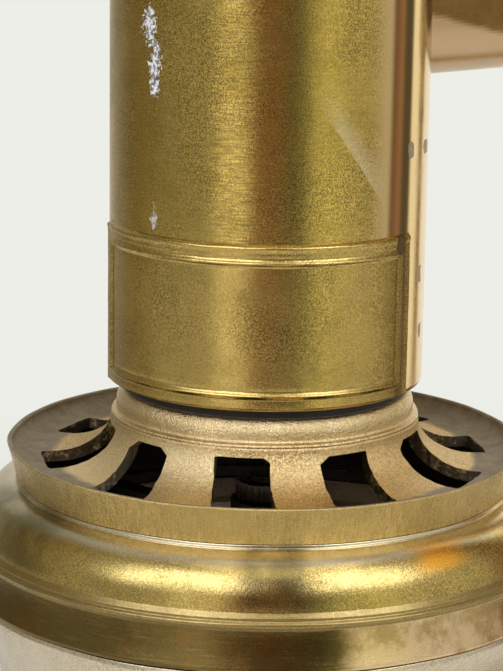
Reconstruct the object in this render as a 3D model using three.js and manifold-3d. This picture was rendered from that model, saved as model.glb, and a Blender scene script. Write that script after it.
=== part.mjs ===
import * as THREE from "three";
import { mergeVertices } from "three/addons/utils/BufferGeometryUtils.js";
import Module from "manifold-3d";

// Argand lamp: one burner on a side arm, fed with oil from an urn on a column.
// Millimetres, +Z up. The origin is the middle of the underside of the base.
// The arm runs along X and the burner's axis stands on the -X side.

const wasm = await Module();
wasm.setup();

// Fits
const seatGap = 0.3;
const slipGap = 0.15;
const sheetWall = 1;
const castWall = 1.5;
const cutOver = 2;

// Facets
const mainFacets = 30;
const plainFacets = 20;
const smallFacets = 12;
const arcSteps = 4;
const shortArcSteps = 3;
const longArcSteps = 8;
const holeFacets = 8;
const edgeSteps = 3;

// Burner body
const burnerReach = 140;
const bodyFootHeight = 202;
const bodyRadius = 21;
const bodyHeight = 92;
const bodyFootRound = 1;
const bodyBore = bodyRadius - sheetWall;
const capLipDepth = 4;
const capThickness = 2;
const capReach = 0.5;
const capRadius = bodyRadius + capReach;

// Name plate round the front of the body
const plateFacingAngle = 221;
const plateHalfAngle = 70;
const frameHalfAngle = 63;
const plateBottom = 0.6;
const plateTop = 21.8;
const plateThickness = 0.45;
const plateGap = 0.15;
const frameLow = 2.4;
const frameHigh = 19.4;
const frameWidth = 0.7;
const frameEndSweep = 1;
const frameRise = 0.25;
const plateFacets = 20;

// Pierced air collar, with drops measured down from the body's foot
const neckInsertion = 5;
const neckRadius = bodyBore - seatGap;
const neckOuterRadius = 19.9;
const shoulderDrop = 1.2;
const grooveTop = 0.6;
const grooveSink = 0.9;
const beadTopDrop = 3.7;
const beadDrop = 4.4;
const beadRise = 0.6;
const throatRadius = 20.4;
const trumpetDrop = 4.9;
const trumpetRadius = 28.5;
const dishDrop = 10.6;
const dishFlatRadius = 30.6;
const dishRadius = 34;
const rimDrop = 8.5;
const rimRadius = 34.7;
const collarSeatDrop = 13.4;
const collarSeatRadius = 33.5;
const windowCount = 10;
const windowFirstAngle = 221.5;
const windowInnerWidth = 6.5;
const windowOuterWidth = 9.1;
const windowInnerRadius = 14;
const windowOuterRadius = 30;
const windowTopDrop = 6;

// Torus moulding under the collar
const torusRadius = 39.2;
const torusDrop = 21.2;
const ridgeRadius = 39.7;
const ridgeDrop = 21.9;
const bandTopRadius = 39.3;
const bandTopDrop = 22.4;
const bandRadius = 40.3;
const bandDrop = 27.9;
const torusMouthRadius = 30.5;
const ledgeRadius = 35.6;
const ledgeBoreRadius = 37.2;
const ledgeDrop = 22.6;
const ledgeThickness = 1.6;
const lipSocketRadius = 38.7;

// Drip bowl below the moulding
const bowlLipHeight = 3;
const bowlRadius = 39.9;
const bowlShoulderDrop = 29.2;
const bowlBellyRadius = 36.2;
const bowlBellyDrop = 37;
const bowlFootRadius = 8;
const bowlBottomDrop = 60;
const finialRadius = 8.5;
const finialNeckRadius = 4;
const finialHeight = 15;
const finialKnobRadius = 5;

// Stem that holds the bowl up to the bridge
const stemRadius = 2;
const stemTopDrop = 13.6;
const stemDepth = 66;
const bridgeThickness = 1.6;
const bridgeArmWidth = 3;
const bridgeArmCount = 3;
const bridgeFirstAngle = 216;
const bridgeBossRadius = 4.6;
const nutDrop = 17.1;
const nutHeight = 2.7;
const nutRadius = 3.9;
const nutFluteDepth = 0.35;
const nutFluteCount = 24;

// Draft tube, wick and the raiser that turns round them
const floorThickness = 1.5;
const draftBore = 8.9;
const draftRadius = 10.4;
const draftFootDrop = 6;
const draftStandUp = 6;
const draftTopHeight = bodyHeight + draftStandUp;
const groovePitch = 18;
const grooveWidth = 2.2;
const grooveDepth = 0.7;
const grooveTurnShare = 1.5;
const grooveStepsPerTurn = 12;
const wickStandUp = 5;
const wickLength = 45;
const wickTopHeight = bodyHeight + wickStandUp;
const carrierThickness = 2;
const carrierHeight = wickTopHeight - wickLength - carrierThickness;
const carrierWallHeight = 5;
const carrierWall = 0.6;
const carrierBore = draftRadius + seatGap;
const wickBore = carrierBore + slipGap;
const wickRadius = 12.6;
const carrierRadius = wickRadius + seatGap + carrierWall;
const raiserBore = carrierRadius + seatGap;
const raiserWall = 0.8;
const raiserRadius = raiserBore + raiserWall;
const raiserStandUp = 9;
const raiserTopHeight = bodyHeight + raiserStandUp;
const wickTravel = 15;
const slotWidth = 3.2;
const lugWidth = slotWidth - 2 * seatGap;
const slotMargin = 3;

// Chimney gallery
const hubWall = 1.2;
const gallerySeatRadius = 17;
const galleryRise = 7.3;
const galleryRadius = 27.4;
const galleryWall = 1;
const galleryCupHeight = 18.7;
const galleryShelfRadius = 23.4;
const galleryShelfHeight = 8.7;
const galleryHoleCount = 10;
const galleryHoleRadius = 1.5;
const galleryHolePlace = 20.2;
const prongCount = 6;
const prongSlotWidth = 4;
const prongSlotDepth = 8;

// Chimney glass
const chimneyWall = 1.6;
const chimneyStraight = 25;
const chimneyWaistRadius = 19;
const chimneyShoulder = 9;
const chimneyTopRadius = 18;
const chimneyHeight = 197;

// Shade and the ring that carries it
const shadeHubHeight = 8;
const shadeHubDrop = 16;
const shadeHubBase = bodyHeight - shadeHubDrop;
const shadeHubRadius = 23.5;
const shadeRingRadius = 54;
const shadeRingWidth = 5.5;
const shadeRingLip = 6;
const shadeRingWall = 1.4;
const shadeArmCount = 3;
const shadeArmFirstAngle = 60;
const shadeArmWidth = 4;
const shadeArmInset = 1;
const shadeWall = 2;
const shadeBellyRadius = 70;
const shadeCollarHeight = 8;
const shadeBellyHeight = 42;
const shadeTopRadius = 36;
const shadeHeight = 128;
const clampScrewRadius = 2;
const clampScrewLength = 7;
const clampHeadRadius = 3.6;
const clampHeadLength = 3;
const clampScrewAngle = 0;

// Side arm and the block it screws into
const armRadius = 9;
const armHeight = 48;
const armInsertion = 2.5;
const armBlockRadius = 18;
const armBlockHalfHeight = 14;
const armSocketDepth = 10;
const unionRadius = 12.5;
const unionLength = 9;
const oilBoreRadius = 5;

// Urn
const urnFootHeight = 12;
const urnFootRadius = 22;
const urnFootWaist = 11;
const urnBottomRadius = 14;
const urnBellyRadius = 45;
const urnBellyHeight = 64;
const urnHeight = 94;
const urnMouthRadius = 41;
const urnRimHeight = 4;
const urnRimReach = 3;
const coverHeight = 20;
const coverTopRadius = 9;
const coverLipDepth = 5;
const coverFinialHeight = 24;
const coverFinialRadius = 8;
const coverFinialWaist = 3.6;
const finialWaistShare = 0.25;
const finialBellyShare = 0.5;

// Oil bottle hung from the urn's cover
const bottleRadius = 33;
const bottleHeight = 62;
const bottleShoulder = 16;
const mouthRadius = 8;
const mouthLength = 10;
const valveRodRadius = 1.4;
const valveDiscRadius = 5.4;
const valveDiscThickness = 1.4;
const valveFootRadius = 6.5;
const valveLift = 3;
const seatBore = 3.4;
const bottleWall = 0.8;

// Column and base
const baseHalf = 60;
const baseSlabThickness = 8;
const stepHalf = 51;
const stepThickness = 12;
const stepHollowRadius = 12;
const domeHeight = 36;
const domeRadius = 46;
const domeNeckRadius = 16;
const domeWall = 2;
const weightRadius = 30;
const weightHeight = 14;
const ringHeight = 7;
const ringRadius = 18;
const shaftRadius = 11.5;
const shaftTopRadius = 10;
const shaftBore = 7;
const capitalHeight = 15;
const rodRadius = 3;
const rodNutRadius = 7;
const rodNutHeight = 5;
const rodThreadDepth = 6;
const slabEdge = 1.5;
const stepEdge = 3;
const stepWeb = 4;
const armAxisHeight = bodyFootHeight + armHeight;

const materials = {
  brass: new THREE.MeshStandardMaterial({ color: 0xb8954a, roughness: 0.32, metalness: 1 }),
  iron: new THREE.MeshStandardMaterial({ color: 0x3a3733, roughness: 0.8, metalness: 0.6 }),
  tin: new THREE.MeshStandardMaterial({ color: 0x9c9a94, roughness: 0.45, metalness: 0.9 }),
  cotton: new THREE.MeshStandardMaterial({ color: 0xd8cfb8, roughness: 0.95, metalness: 0 }),
  glass: new THREE.MeshStandardMaterial({ color: 0xe8f0ec, roughness: 0.05, metalness: 0 }),
  frosted: new THREE.MeshStandardMaterial({ color: 0xf0efe8, roughness: 0.6, metalness: 0 }),
};

const lamp = new THREE.Group();
lamp.name = "argand_lamp";
const burner = new THREE.Group();
burner.position.set(-burnerReach, 0, bodyFootHeight);
lamp.add(burner);

// Adds one named piece to a group
function piece(group, name, geometry, material) {
  const mesh = new THREE.Mesh(geometry, material);
  mesh.name = name;
  group.add(mesh);
}

// Turns a profile of [radius, height] points round the Z axis
function turned(profile, facets) {
  const points = profile.map(([radius, height]) => new THREE.Vector2(radius, height));
  let area = 0;
  points.forEach((point, i) => {
    const next = points[(i + 1) % points.length];
    area += point.x * next.y - next.x * point.y;
  });
  if (area < 0) points.reverse();
  return new THREE.LatheGeometry(points, facets).rotateX(Math.PI / 2);
}

// A ring, or a disc when the bore is zero, between two heights
function ring(bore, radius, low, high, facets) {
  const outside = [[bore, low], [radius, low], [radius, high], [bore, high]];
  return turned(bore > 0 ? [...outside, outside[0]] : outside, facets);
}

// A block between two corners
function block(x0, x1, y0, y1, z0, z1) {
  const shape = new THREE.BoxGeometry(x1 - x0, y1 - y0, z1 - z0);
  return shape.translate((x0 + x1) / 2, (y0 + y1) / 2, (z0 + z1) / 2);
}

// A quarter ellipse from one point to another, leaving upright or across
function quarter([r0, z0], [r1, z1], upright, steps = arcSteps) {
  const points = [];
  for (let i = 0; i <= steps; i++) {
    const turn = (i / steps) * (Math.PI / 2);
    const slow = 1 - Math.cos(turn);
    const quick = Math.sin(turn);
    const [across, up] = upright ? [slow, quick] : [quick, slow];
    points.push([r0 + (r1 - r0) * across, z0 + (z1 - z0) * up]);
  }
  return points;
}

// A sheet of even thickness inside an outline that runs from the bottom up
function shell(outside, wall) {
  const inside = outside.map(([radius, height], i) => {
    const before = outside[Math.max(i - 1, 0)];
    const after = outside[Math.min(i + 1, outside.length - 1)];
    const run = after[0] - before[0];
    const rise = after[1] - before[1];
    const length = Math.hypot(run, rise);
    return [radius - (wall * rise) / length, height + (wall * run) / length];
  });
  return [...outside, ...inside.reverse(), outside[0]];
}

// Closed solid and back, for cuts and joins
function solid(geometry) {
  const bare = geometry.clone();
  bare.deleteAttribute("normal");
  bare.deleteAttribute("uv");
  const merged = mergeVertices(bare, 1e-4);
  const mesh = new wasm.Mesh({
    numProp: 3,
    vertProperties: merged.attributes.position.array,
    triVerts: new Uint32Array(merged.index.array),
  });
  return new wasm.Manifold(mesh);
}

function geometryOf(shape) {
  const mesh = shape.getMesh();
  const geometry = new THREE.BufferGeometry();
  geometry.setAttribute("position", new THREE.BufferAttribute(new Float32Array(mesh.vertProperties), 3));
  geometry.setIndex(new THREE.BufferAttribute(new Uint32Array(mesh.triVerts), 1));
  return geometry;
}

// Cuts one shape out of another in a ring of evenly spaced copies
function cutRound(shape, cutter, count, firstAngle) {
  let left = shape;
  for (let i = 0; i < count; i++) {
    const turn = THREE.MathUtils.degToRad(firstAngle + (i * 360) / count);
    left = left.subtract(solid(cutter.clone().rotateZ(turn)));
  }
  return left;
}

// Joins evenly spaced copies to a shape
function joinRound(shape, arm, count, firstAngle) {
  let joined = shape;
  for (let i = 0; i < count; i++) {
    const turn = THREE.MathUtils.degToRad(firstAngle + (i * 360) / count);
    joined = joined.add(solid(arm.clone().rotateZ(turn)));
  }
  return joined;
}

// An upright prism over a flat outline of [x, y] points
function prism(outline, low, high) {
  const shape = new THREE.Shape(outline.map(([x, y]) => new THREE.Vector2(x, y)));
  const options = { depth: high - low, bevelEnabled: false };
  return new THREE.ExtrudeGeometry(shape, options).translate(0, 0, low);
}

// A curved slab: part of a ring about the Z axis, centred on an angle
function arcSlab(inner, outer, low, high, middleAngle, halfAngle, facets) {
  const outline = [];
  for (let i = 0; i <= facets; i++) {
    const turn = THREE.MathUtils.degToRad(middleAngle + halfAngle * ((2 * i) / facets - 1));
    outline.push([outer * Math.cos(turn), outer * Math.sin(turn)]);
  }
  for (let i = facets; i >= 0; i--) {
    const turn = THREE.MathUtils.degToRad(middleAngle + halfAngle * ((2 * i) / facets - 1));
    outline.push([inner * Math.cos(turn), inner * Math.sin(turn)]);
  }
  return prism(outline, low, high);
}

// Body tube, closed at the foot by a floor and at the top by a cap
const armHole = ring(0, armRadius + seatGap, bodyBore - 2 * cutOver, bodyRadius + cutOver, smallFacets)
  .rotateY(Math.PI / 2)
  .translate(0, 0, armHeight);
const bodyProfile = [
  [bodyBore, 0],
  ...quarter([bodyRadius - bodyFootRound, 0], [bodyRadius, bodyFootRound], false, shortArcSteps),
  [bodyRadius, bodyHeight],
  [bodyBore, bodyHeight],
  [bodyBore, 0],
];
const bodyTube = solid(turned(bodyProfile, mainFacets)).subtract(solid(armHole));
piece(burner, "burner_body_tube", geometryOf(bodyTube), materials.brass);

const floorTop = neckInsertion + floorThickness;
const floorRing = ring(draftRadius + seatGap, neckRadius, neckInsertion, floorTop, mainFacets);
piece(burner, "body_floor_ring", floorRing, materials.brass);

const capBore = raiserRadius + seatGap;
const capTop = bodyHeight + capThickness;
const capProfile = [
  [capBore, bodyHeight],
  [neckRadius - sheetWall, bodyHeight],
  [neckRadius - sheetWall, bodyHeight - capLipDepth],
  [neckRadius, bodyHeight - capLipDepth],
  [neckRadius, bodyHeight],
  [capRadius, bodyHeight],
  [capRadius, capTop],
  [capBore, capTop],
  [capBore, bodyHeight],
];
piece(burner, "body_top_cap", turned(capProfile, mainFacets), materials.brass);

// Name plate: a thin curved sheet with a raised line near its edges
const plateInner = bodyRadius + plateGap;
const plateOuter = plateInner + plateThickness;
const frameOuter = plateOuter + frameRise;
const frameEndAngle = frameHalfAngle - frameEndSweep;
function frameLine(low, high, middleAngle, halfAngle, facets) {
  return solid(arcSlab(plateInner, frameOuter, low, high, middleAngle, halfAngle, facets));
}
const plateBody = arcSlab(
  plateInner, plateOuter, plateBottom, plateTop, plateFacingAngle, plateHalfAngle, plateFacets,
);
let plate = solid(plateBody);
plate = plate.add(frameLine(frameLow, frameLow + frameWidth, plateFacingAngle, frameHalfAngle, plateFacets));
plate = plate.add(frameLine(frameHigh - frameWidth, frameHigh, plateFacingAngle, frameHalfAngle, plateFacets));
for (const side of [-1, 1]) {
  const middle = plateFacingAngle + side * frameEndAngle;
  plate = plate.add(frameLine(frameLow, frameHigh, middle, frameHalfAngle - frameEndAngle, 1));
}
piece(burner, "name_plate", geometryOf(plate), materials.brass);

// Air collar: neck, bead, trumpet pierced with windows, dish and rim
const collarBore = neckRadius - castWall;
const dishUnderside = -dishDrop - castWall;
const collarProfile = [
  [collarBore, neckInsertion],
  [collarBore, -trumpetDrop],
  ...quarter([throatRadius - castWall, -trumpetDrop - castWall], [trumpetRadius, dishUnderside], true),
  [collarSeatRadius - castWall, dishUnderside],
  [collarSeatRadius - castWall, -collarSeatDrop],
  [collarSeatRadius, -collarSeatDrop],
  [rimRadius, -rimDrop],
  ...quarter([dishFlatRadius, -dishDrop], [dishRadius, -rimDrop], false, shortArcSteps).reverse(),
  ...quarter([throatRadius, -trumpetDrop], [trumpetRadius, -dishDrop], true).reverse(),
  [neckOuterRadius + beadRise, -beadDrop],
  [neckOuterRadius, -beadTopDrop],
  [neckOuterRadius, -shoulderDrop],
  [neckRadius - grooveSink, -shoulderDrop],
  [neckRadius - grooveSink, grooveTop],
  [neckRadius, grooveTop],
  [neckRadius, neckInsertion],
  [collarBore, neckInsertion],
];
const windowOutline = [
  [windowInnerRadius, -windowInnerWidth / 2],
  [windowOuterRadius, -windowOuterWidth / 2],
  [windowOuterRadius, windowOuterWidth / 2],
  [windowInnerRadius, windowInnerWidth / 2],
];
const windowCut = prism(windowOutline, -collarSeatDrop - cutOver, -windowTopDrop);
const collar = cutRound(
  solid(turned(collarProfile, mainFacets)), windowCut, windowCount, windowFirstAngle,
);
piece(burner, "air_collar", geometryOf(collar), materials.brass);

// Torus moulding with twin ridges, a plain band and an inner ledge for the bridge
const torusProfile = [
  [torusMouthRadius, -collarSeatDrop],
  [torusMouthRadius, -collarSeatDrop - castWall],
  ...quarter(
    [collarSeatRadius, -collarSeatDrop - castWall], [ledgeBoreRadius, -torusDrop], false,
  ),
  [ledgeBoreRadius, -ledgeDrop],
  [ledgeRadius, -ledgeDrop],
  [ledgeRadius, -ledgeDrop - ledgeThickness],
  [lipSocketRadius, -ledgeDrop - ledgeThickness],
  [lipSocketRadius, -bandDrop],
  [bandRadius, -bandDrop],
  [bandTopRadius, -bandTopDrop],
  [ridgeRadius, -ridgeDrop],
  ...quarter([collarSeatRadius, -collarSeatDrop], [torusRadius, -torusDrop], false).reverse(),
  [torusMouthRadius, -collarSeatDrop],
];
piece(burner, "torus_ring", turned(torusProfile, mainFacets), materials.brass);

// Drip bowl: a lip that slips up into the band, a round belly and a hole for the stem
const bowlLipRadius = lipSocketRadius - seatGap;
const bowlTopDrop = bandDrop + seatGap;
const bowlBore = stemRadius + seatGap;
const bowlOutside = [
  [bowlBore, -bowlBottomDrop],
  [bowlFootRadius, -bowlBottomDrop],
  ...quarter([bowlBellyRadius, -bowlBellyDrop], [bowlFootRadius, -bowlBottomDrop], true)
    .reverse()
    .slice(1),
  [bowlRadius, -bowlShoulderDrop],
  [bowlRadius, -bowlTopDrop],
];
const bowlInside = shell(bowlOutside.slice(0, -1), sheetWall).slice(bowlOutside.length - 1, -1);
const bowlProfile = [
  ...bowlOutside,
  [bowlLipRadius, -bowlTopDrop],
  [bowlLipRadius, -bowlTopDrop + bowlLipHeight],
  [bowlLipRadius - sheetWall, -bowlTopDrop + bowlLipHeight],
  [bowlLipRadius - sheetWall, -bowlTopDrop],
  ...bowlInside.slice(1),
  bowlOutside[0],
];
piece(burner, "drip_bowl", turned(bowlProfile, mainFacets), materials.brass);

// Finial nut: screws on the stem and draws the bowl up
const finialTop = -bowlBottomDrop - seatGap;
const finialProfile = [
  [0, finialTop - finialHeight],
  ...quarter(
    [0, finialTop - finialHeight],
    [finialKnobRadius, finialTop - finialHeight + finialKnobRadius],
    false,
  ).slice(1),
  [finialNeckRadius, finialTop - finialKnobRadius],
  [finialRadius, finialTop - castWall],
  [finialRadius, finialTop],
  [bowlBore, finialTop],
  [bowlBore, -stemDepth - seatGap],
  [0, -stemDepth - seatGap],
];
piece(burner, "bowl_finial", turned(finialProfile, smallFacets), materials.brass);

piece(burner, "bowl_stem", ring(0, stemRadius, -stemDepth, -stemTopDrop, smallFacets), materials.brass);

// Three-armed bridge on the ledge, and the knurled nut that heads the stem above it
const bridgeTop = -ledgeDrop + bridgeThickness;
const bridgeReach = ledgeBoreRadius - seatGap;
const bridgeArm = block(
  bowlBore + sheetWall, bridgeReach, -bridgeArmWidth / 2, bridgeArmWidth / 2, -ledgeDrop, bridgeTop,
);
const bridgeBoss = ring(bowlBore, bridgeBossRadius, -ledgeDrop, -nutDrop, smallFacets);
const bridge = joinRound(solid(bridgeBoss), bridgeArm, bridgeArmCount, bridgeFirstAngle);
piece(burner, "bowl_bridge", geometryOf(bridge), materials.brass);

const nutOutline = new THREE.Shape();
for (let i = 0; i < 2 * nutFluteCount; i++) {
  const turn = (i * Math.PI) / nutFluteCount;
  const radius = i % 2 ? nutRadius - nutFluteDepth : nutRadius;
  const x = radius * Math.cos(turn);
  const y = radius * Math.sin(turn);
  if (i) nutOutline.lineTo(x, y);
  else nutOutline.moveTo(x, y);
}
nutOutline.holes.push(new THREE.Path().absarc(0, 0, bowlBore, 0, 2 * Math.PI, true));
const nutOptions = { depth: nutHeight, bevelEnabled: false, curveSegments: smallFacets };
const nut = new THREE.ExtrudeGeometry(nutOutline, nutOptions).translate(0, 0, -nutDrop);
piece(burner, "knurled_nut", nut, materials.brass);

// Draft tube with the spiral groove that the wick carrier climbs
class Spiral extends THREE.Curve {
  constructor(radius, pitch, turns, start) {
    super();
    this.radius = radius;
    this.pitch = pitch;
    this.turns = turns;
    this.start = start;
  }

  getPoint(share, target = new THREE.Vector3()) {
    const turn = 2 * Math.PI * this.turns * share;
    const height = this.start + this.pitch * this.turns * share;
    return target.set(this.radius * Math.cos(turn), this.radius * Math.sin(turn), height);
  }
}
const groovePath = new Spiral(draftRadius, groovePitch, grooveTurnShare, carrierHeight - slotMargin);
const grooveSection = new THREE.Shape([
  new THREE.Vector2(-grooveDepth, -grooveWidth / 2),
  new THREE.Vector2(grooveDepth, -grooveWidth / 2),
  new THREE.Vector2(grooveDepth, grooveWidth / 2),
  new THREE.Vector2(-grooveDepth, grooveWidth / 2),
]);

// A bar of rectangular section along a spiral, kept square to the axis
function spiralBar(path, section, steps) {
  const corners = section.getPoints();
  const positions = [];
  const index = [];
  for (let i = 0; i <= steps; i++) {
    const middle = path.getPoint(i / steps);
    const turn = Math.atan2(middle.y, middle.x);
    for (const corner of corners) {
      const radius = path.radius + corner.x;
      positions.push(radius * Math.cos(turn), radius * Math.sin(turn), middle.z + corner.y);
    }
  }
  const count = corners.length;
  for (let i = 0; i < steps; i++) {
    for (let j = 0; j < count; j++) {
      const a = i * count + j;
      const b = i * count + ((j + 1) % count);
      index.push(a, a + count, b, b, a + count, b + count);
    }
  }
  const last = steps * count;
  for (let j = 1; j < count - 1; j++) {
    index.push(0, j, j + 1);
    index.push(last, last + j + 1, last + j);
  }
  return new wasm.Manifold(new wasm.Mesh({
    numProp: 3,
    vertProperties: new Float32Array(positions),
    triVerts: new Uint32Array(index),
  }));
}
const draftBlank = ring(draftBore, draftRadius, -draftFootDrop, draftTopHeight, plainFacets);
const groove = spiralBar(groovePath, grooveSection, grooveStepsPerTurn * grooveTurnShare);
piece(burner, "draft_tube", geometryOf(solid(draftBlank).subtract(groove)), materials.brass);

// Wick carrier: a flanged ring with a pin at the groove and a lug in the raiser's slot
const carrierProfile = [
  [carrierBore, carrierHeight],
  [carrierRadius, carrierHeight],
  [carrierRadius, carrierHeight + carrierWallHeight],
  [carrierRadius - carrierWall, carrierHeight + carrierWallHeight],
  [carrierRadius - carrierWall, carrierHeight + carrierThickness],
  [carrierBore, carrierHeight + carrierThickness],
  [carrierBore, carrierHeight],
];
const lug = block(
  carrierRadius - carrierWall,
  raiserRadius - slipGap,
  -lugWidth / 2,
  lugWidth / 2,
  carrierHeight,
  carrierHeight + carrierWallHeight,
);
const carrier = solid(turned(carrierProfile, plainFacets)).add(solid(lug));
piece(burner, "wick_carrier", geometryOf(carrier), materials.brass);

const wickFoot = carrierHeight + carrierThickness + slipGap;
piece(burner, "wick", ring(wickBore, wickRadius, wickFoot, wickTopHeight, plainFacets), materials.cotton);

const raiserBlank = ring(raiserBore, raiserRadius, floorTop + seatGap, raiserTopHeight, plainFacets);
const slotCut = block(
  raiserBore - cutOver,
  raiserRadius + cutOver,
  -slotWidth / 2,
  slotWidth / 2,
  carrierHeight - slotMargin,
  carrierHeight + carrierWallHeight + wickTravel + slotMargin,
);
piece(burner, "raiser_tube", geometryOf(solid(raiserBlank).subtract(solid(slotCut))), materials.brass);

// Chimney gallery: hub on the raiser, pierced cone, shelf for the glass and spring prongs
const galleryFoot = capTop + seatGap;
const hubRadius = capBore + hubWall;
const galleryCupBore = galleryRadius - galleryWall;
const shelfTop = galleryFoot + galleryShelfHeight;
const galleryProfile = [
  [capBore, galleryFoot],
  [gallerySeatRadius, galleryFoot],
  [galleryRadius, galleryFoot + galleryRise],
  [galleryRadius, galleryFoot + galleryCupHeight],
  [galleryCupBore, galleryFoot + galleryCupHeight],
  [galleryCupBore, shelfTop],
  [galleryShelfRadius, shelfTop],
  [hubRadius, galleryFoot + castWall],
  [hubRadius, raiserTopHeight],
  [capBore, raiserTopHeight],
  [capBore, galleryFoot],
];
const galleryHole = ring(0, galleryHoleRadius, galleryFoot - cutOver, shelfTop + cutOver, holeFacets)
  .translate(galleryHolePlace, 0, 0);
const prongSlot = block(
  galleryCupBore - cutOver,
  galleryRadius + cutOver,
  -prongSlotWidth / 2,
  prongSlotWidth / 2,
  galleryFoot + galleryCupHeight - prongSlotDepth,
  galleryFoot + galleryCupHeight + cutOver,
);
let gallery = solid(turned(galleryProfile, mainFacets));
gallery = cutRound(gallery, galleryHole, galleryHoleCount, 0);
gallery = cutRound(gallery, prongSlot, prongCount, 0);
piece(burner, "chimney_gallery", geometryOf(gallery), materials.brass);

// Chimney glass: wide foot, drawn in above the flame
const chimneyRadius = galleryCupBore - seatGap;
const chimneyFoot = shelfTop + seatGap;
const chimneyOutside = [
  [chimneyRadius, chimneyFoot],
  [chimneyRadius, chimneyFoot + chimneyStraight],
  ...quarter(
    [chimneyRadius, chimneyFoot + chimneyStraight],
    [(chimneyRadius + chimneyWaistRadius) / 2, chimneyFoot + chimneyStraight + chimneyShoulder / 2],
    true,
    shortArcSteps,
  ).slice(1),
  ...quarter(
    [(chimneyRadius + chimneyWaistRadius) / 2, chimneyFoot + chimneyStraight + chimneyShoulder / 2],
    [chimneyWaistRadius, chimneyFoot + chimneyStraight + chimneyShoulder],
    false,
    shortArcSteps,
  ).slice(1),
  [chimneyTopRadius, chimneyFoot + chimneyHeight],
];
piece(burner, "glass_chimney", turned(shell(chimneyOutside, chimneyWall), plainFacets), materials.glass);

// Shade ring clamped round the body, and the shade that stands in it
const shadeHubBore = bodyRadius + seatGap;
const shadeSeat = shadeHubBase + shadeRingWall;
const shadeRingProfile = [
  [shadeRingRadius - shadeRingWidth, shadeHubBase],
  [shadeRingRadius, shadeHubBase],
  [shadeRingRadius, shadeHubBase + shadeRingLip],
  [shadeRingRadius - shadeRingWall, shadeHubBase + shadeRingLip],
  [shadeRingRadius - shadeRingWall, shadeSeat],
  [shadeRingRadius - shadeRingWidth, shadeSeat],
  [shadeRingRadius - shadeRingWidth, shadeHubBase],
];
const shadeArm = block(
  shadeHubBore + sheetWall,
  shadeRingRadius - shadeRingWidth + shadeArmInset,
  -shadeArmWidth / 2,
  shadeArmWidth / 2,
  shadeHubBase,
  shadeSeat,
);
const clampBoreRadius = clampScrewRadius + seatGap;
const clampHeight = shadeHubBase + shadeHubHeight / 2;
const clampBore = ring(0, clampBoreRadius, shadeHubBore - cutOver, shadeHubRadius + cutOver, smallFacets)
  .rotateY(Math.PI / 2)
  .translate(0, 0, clampHeight);
const shadeHub = ring(shadeHubBore, shadeHubRadius, shadeHubBase, shadeHubBase + shadeHubHeight, mainFacets);
let shadeRing = solid(turned(shadeRingProfile, mainFacets)).add(solid(shadeHub));
shadeRing = joinRound(shadeRing, shadeArm, shadeArmCount, shadeArmFirstAngle);
shadeRing = cutRound(shadeRing, clampBore, 1, clampScrewAngle);
piece(burner, "shade_ring", geometryOf(shadeRing), materials.brass);

const clampProfile = [
  [0, bodyRadius + seatGap],
  [clampScrewRadius, bodyRadius + seatGap],
  [clampScrewRadius, bodyRadius + seatGap + clampScrewLength],
  [clampHeadRadius, bodyRadius + seatGap + clampScrewLength],
  [clampHeadRadius, bodyRadius + seatGap + clampScrewLength + clampHeadLength],
  [0, bodyRadius + seatGap + clampScrewLength + clampHeadLength],
];
const clampScrew = turned(clampProfile, smallFacets).rotateY(Math.PI / 2).translate(0, 0, clampHeight);
piece(burner, "shade_clamp_screw", clampScrew, materials.brass);

const shadeFoot = shadeSeat + seatGap;
const shadeFootRadius = shadeRingRadius - shadeRingWall - seatGap;
const shadeOutside = [
  [shadeFootRadius, shadeFoot],
  [shadeFootRadius, shadeFoot + shadeCollarHeight],
  ...quarter(
    [shadeFootRadius, shadeFoot + shadeCollarHeight],
    [shadeBellyRadius, shadeFoot + shadeBellyHeight],
    false,
  ).slice(1),
  ...quarter(
    [shadeBellyRadius, shadeFoot + shadeBellyHeight],
    [shadeTopRadius, shadeFoot + shadeHeight],
    true,
  ).slice(1),
];
piece(burner, "glass_shade", turned(shell(shadeOutside, shadeWall), plainFacets), materials.frosted);

// Side arm from the body to the block on the column, with its union nut
const armStart = -burnerReach + bodyBore - armInsertion;
const armEnd = -armBlockRadius + armSocketDepth - seatGap;
const armTube = ring(armRadius - sheetWall, armRadius, armStart, armEnd, smallFacets)
  .rotateY(Math.PI / 2)
  .translate(0, 0, armAxisHeight);
piece(lamp, "arm_tube", armTube, materials.brass);

const unionEnd = -armBlockRadius - seatGap;
const unionNut = ring(armRadius + seatGap, unionRadius, unionEnd - unionLength, unionEnd, smallFacets)
  .rotateY(Math.PI / 2)
  .translate(0, 0, armAxisHeight);
piece(lamp, "arm_union_nut", unionNut, materials.brass);

const blockFoot = armAxisHeight - armBlockHalfHeight;
const blockTop = armAxisHeight + armBlockHalfHeight;
const socketCut = ring(0, armRadius + seatGap, -armBlockRadius - cutOver, -armBlockRadius + armSocketDepth, smallFacets)
  .rotateY(Math.PI / 2)
  .translate(0, 0, armAxisHeight);
const passageCut = ring(0, oilBoreRadius, -armBlockRadius, 0, smallFacets)
  .rotateY(Math.PI / 2)
  .translate(0, 0, armAxisHeight);
const riserCut = ring(0, oilBoreRadius, armAxisHeight - oilBoreRadius, blockTop + cutOver, smallFacets);
const threadCut = ring(
  0, rodRadius + seatGap, blockFoot - cutOver, blockFoot + rodThreadDepth, smallFacets,
);
const armBlock = solid(ring(0, armBlockRadius, blockFoot, blockTop, plainFacets))
  .subtract(solid(socketCut))
  .subtract(solid(passageCut))
  .subtract(solid(riserCut))
  .subtract(solid(threadCut));
piece(lamp, "arm_block", geometryOf(armBlock), materials.brass);

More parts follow.
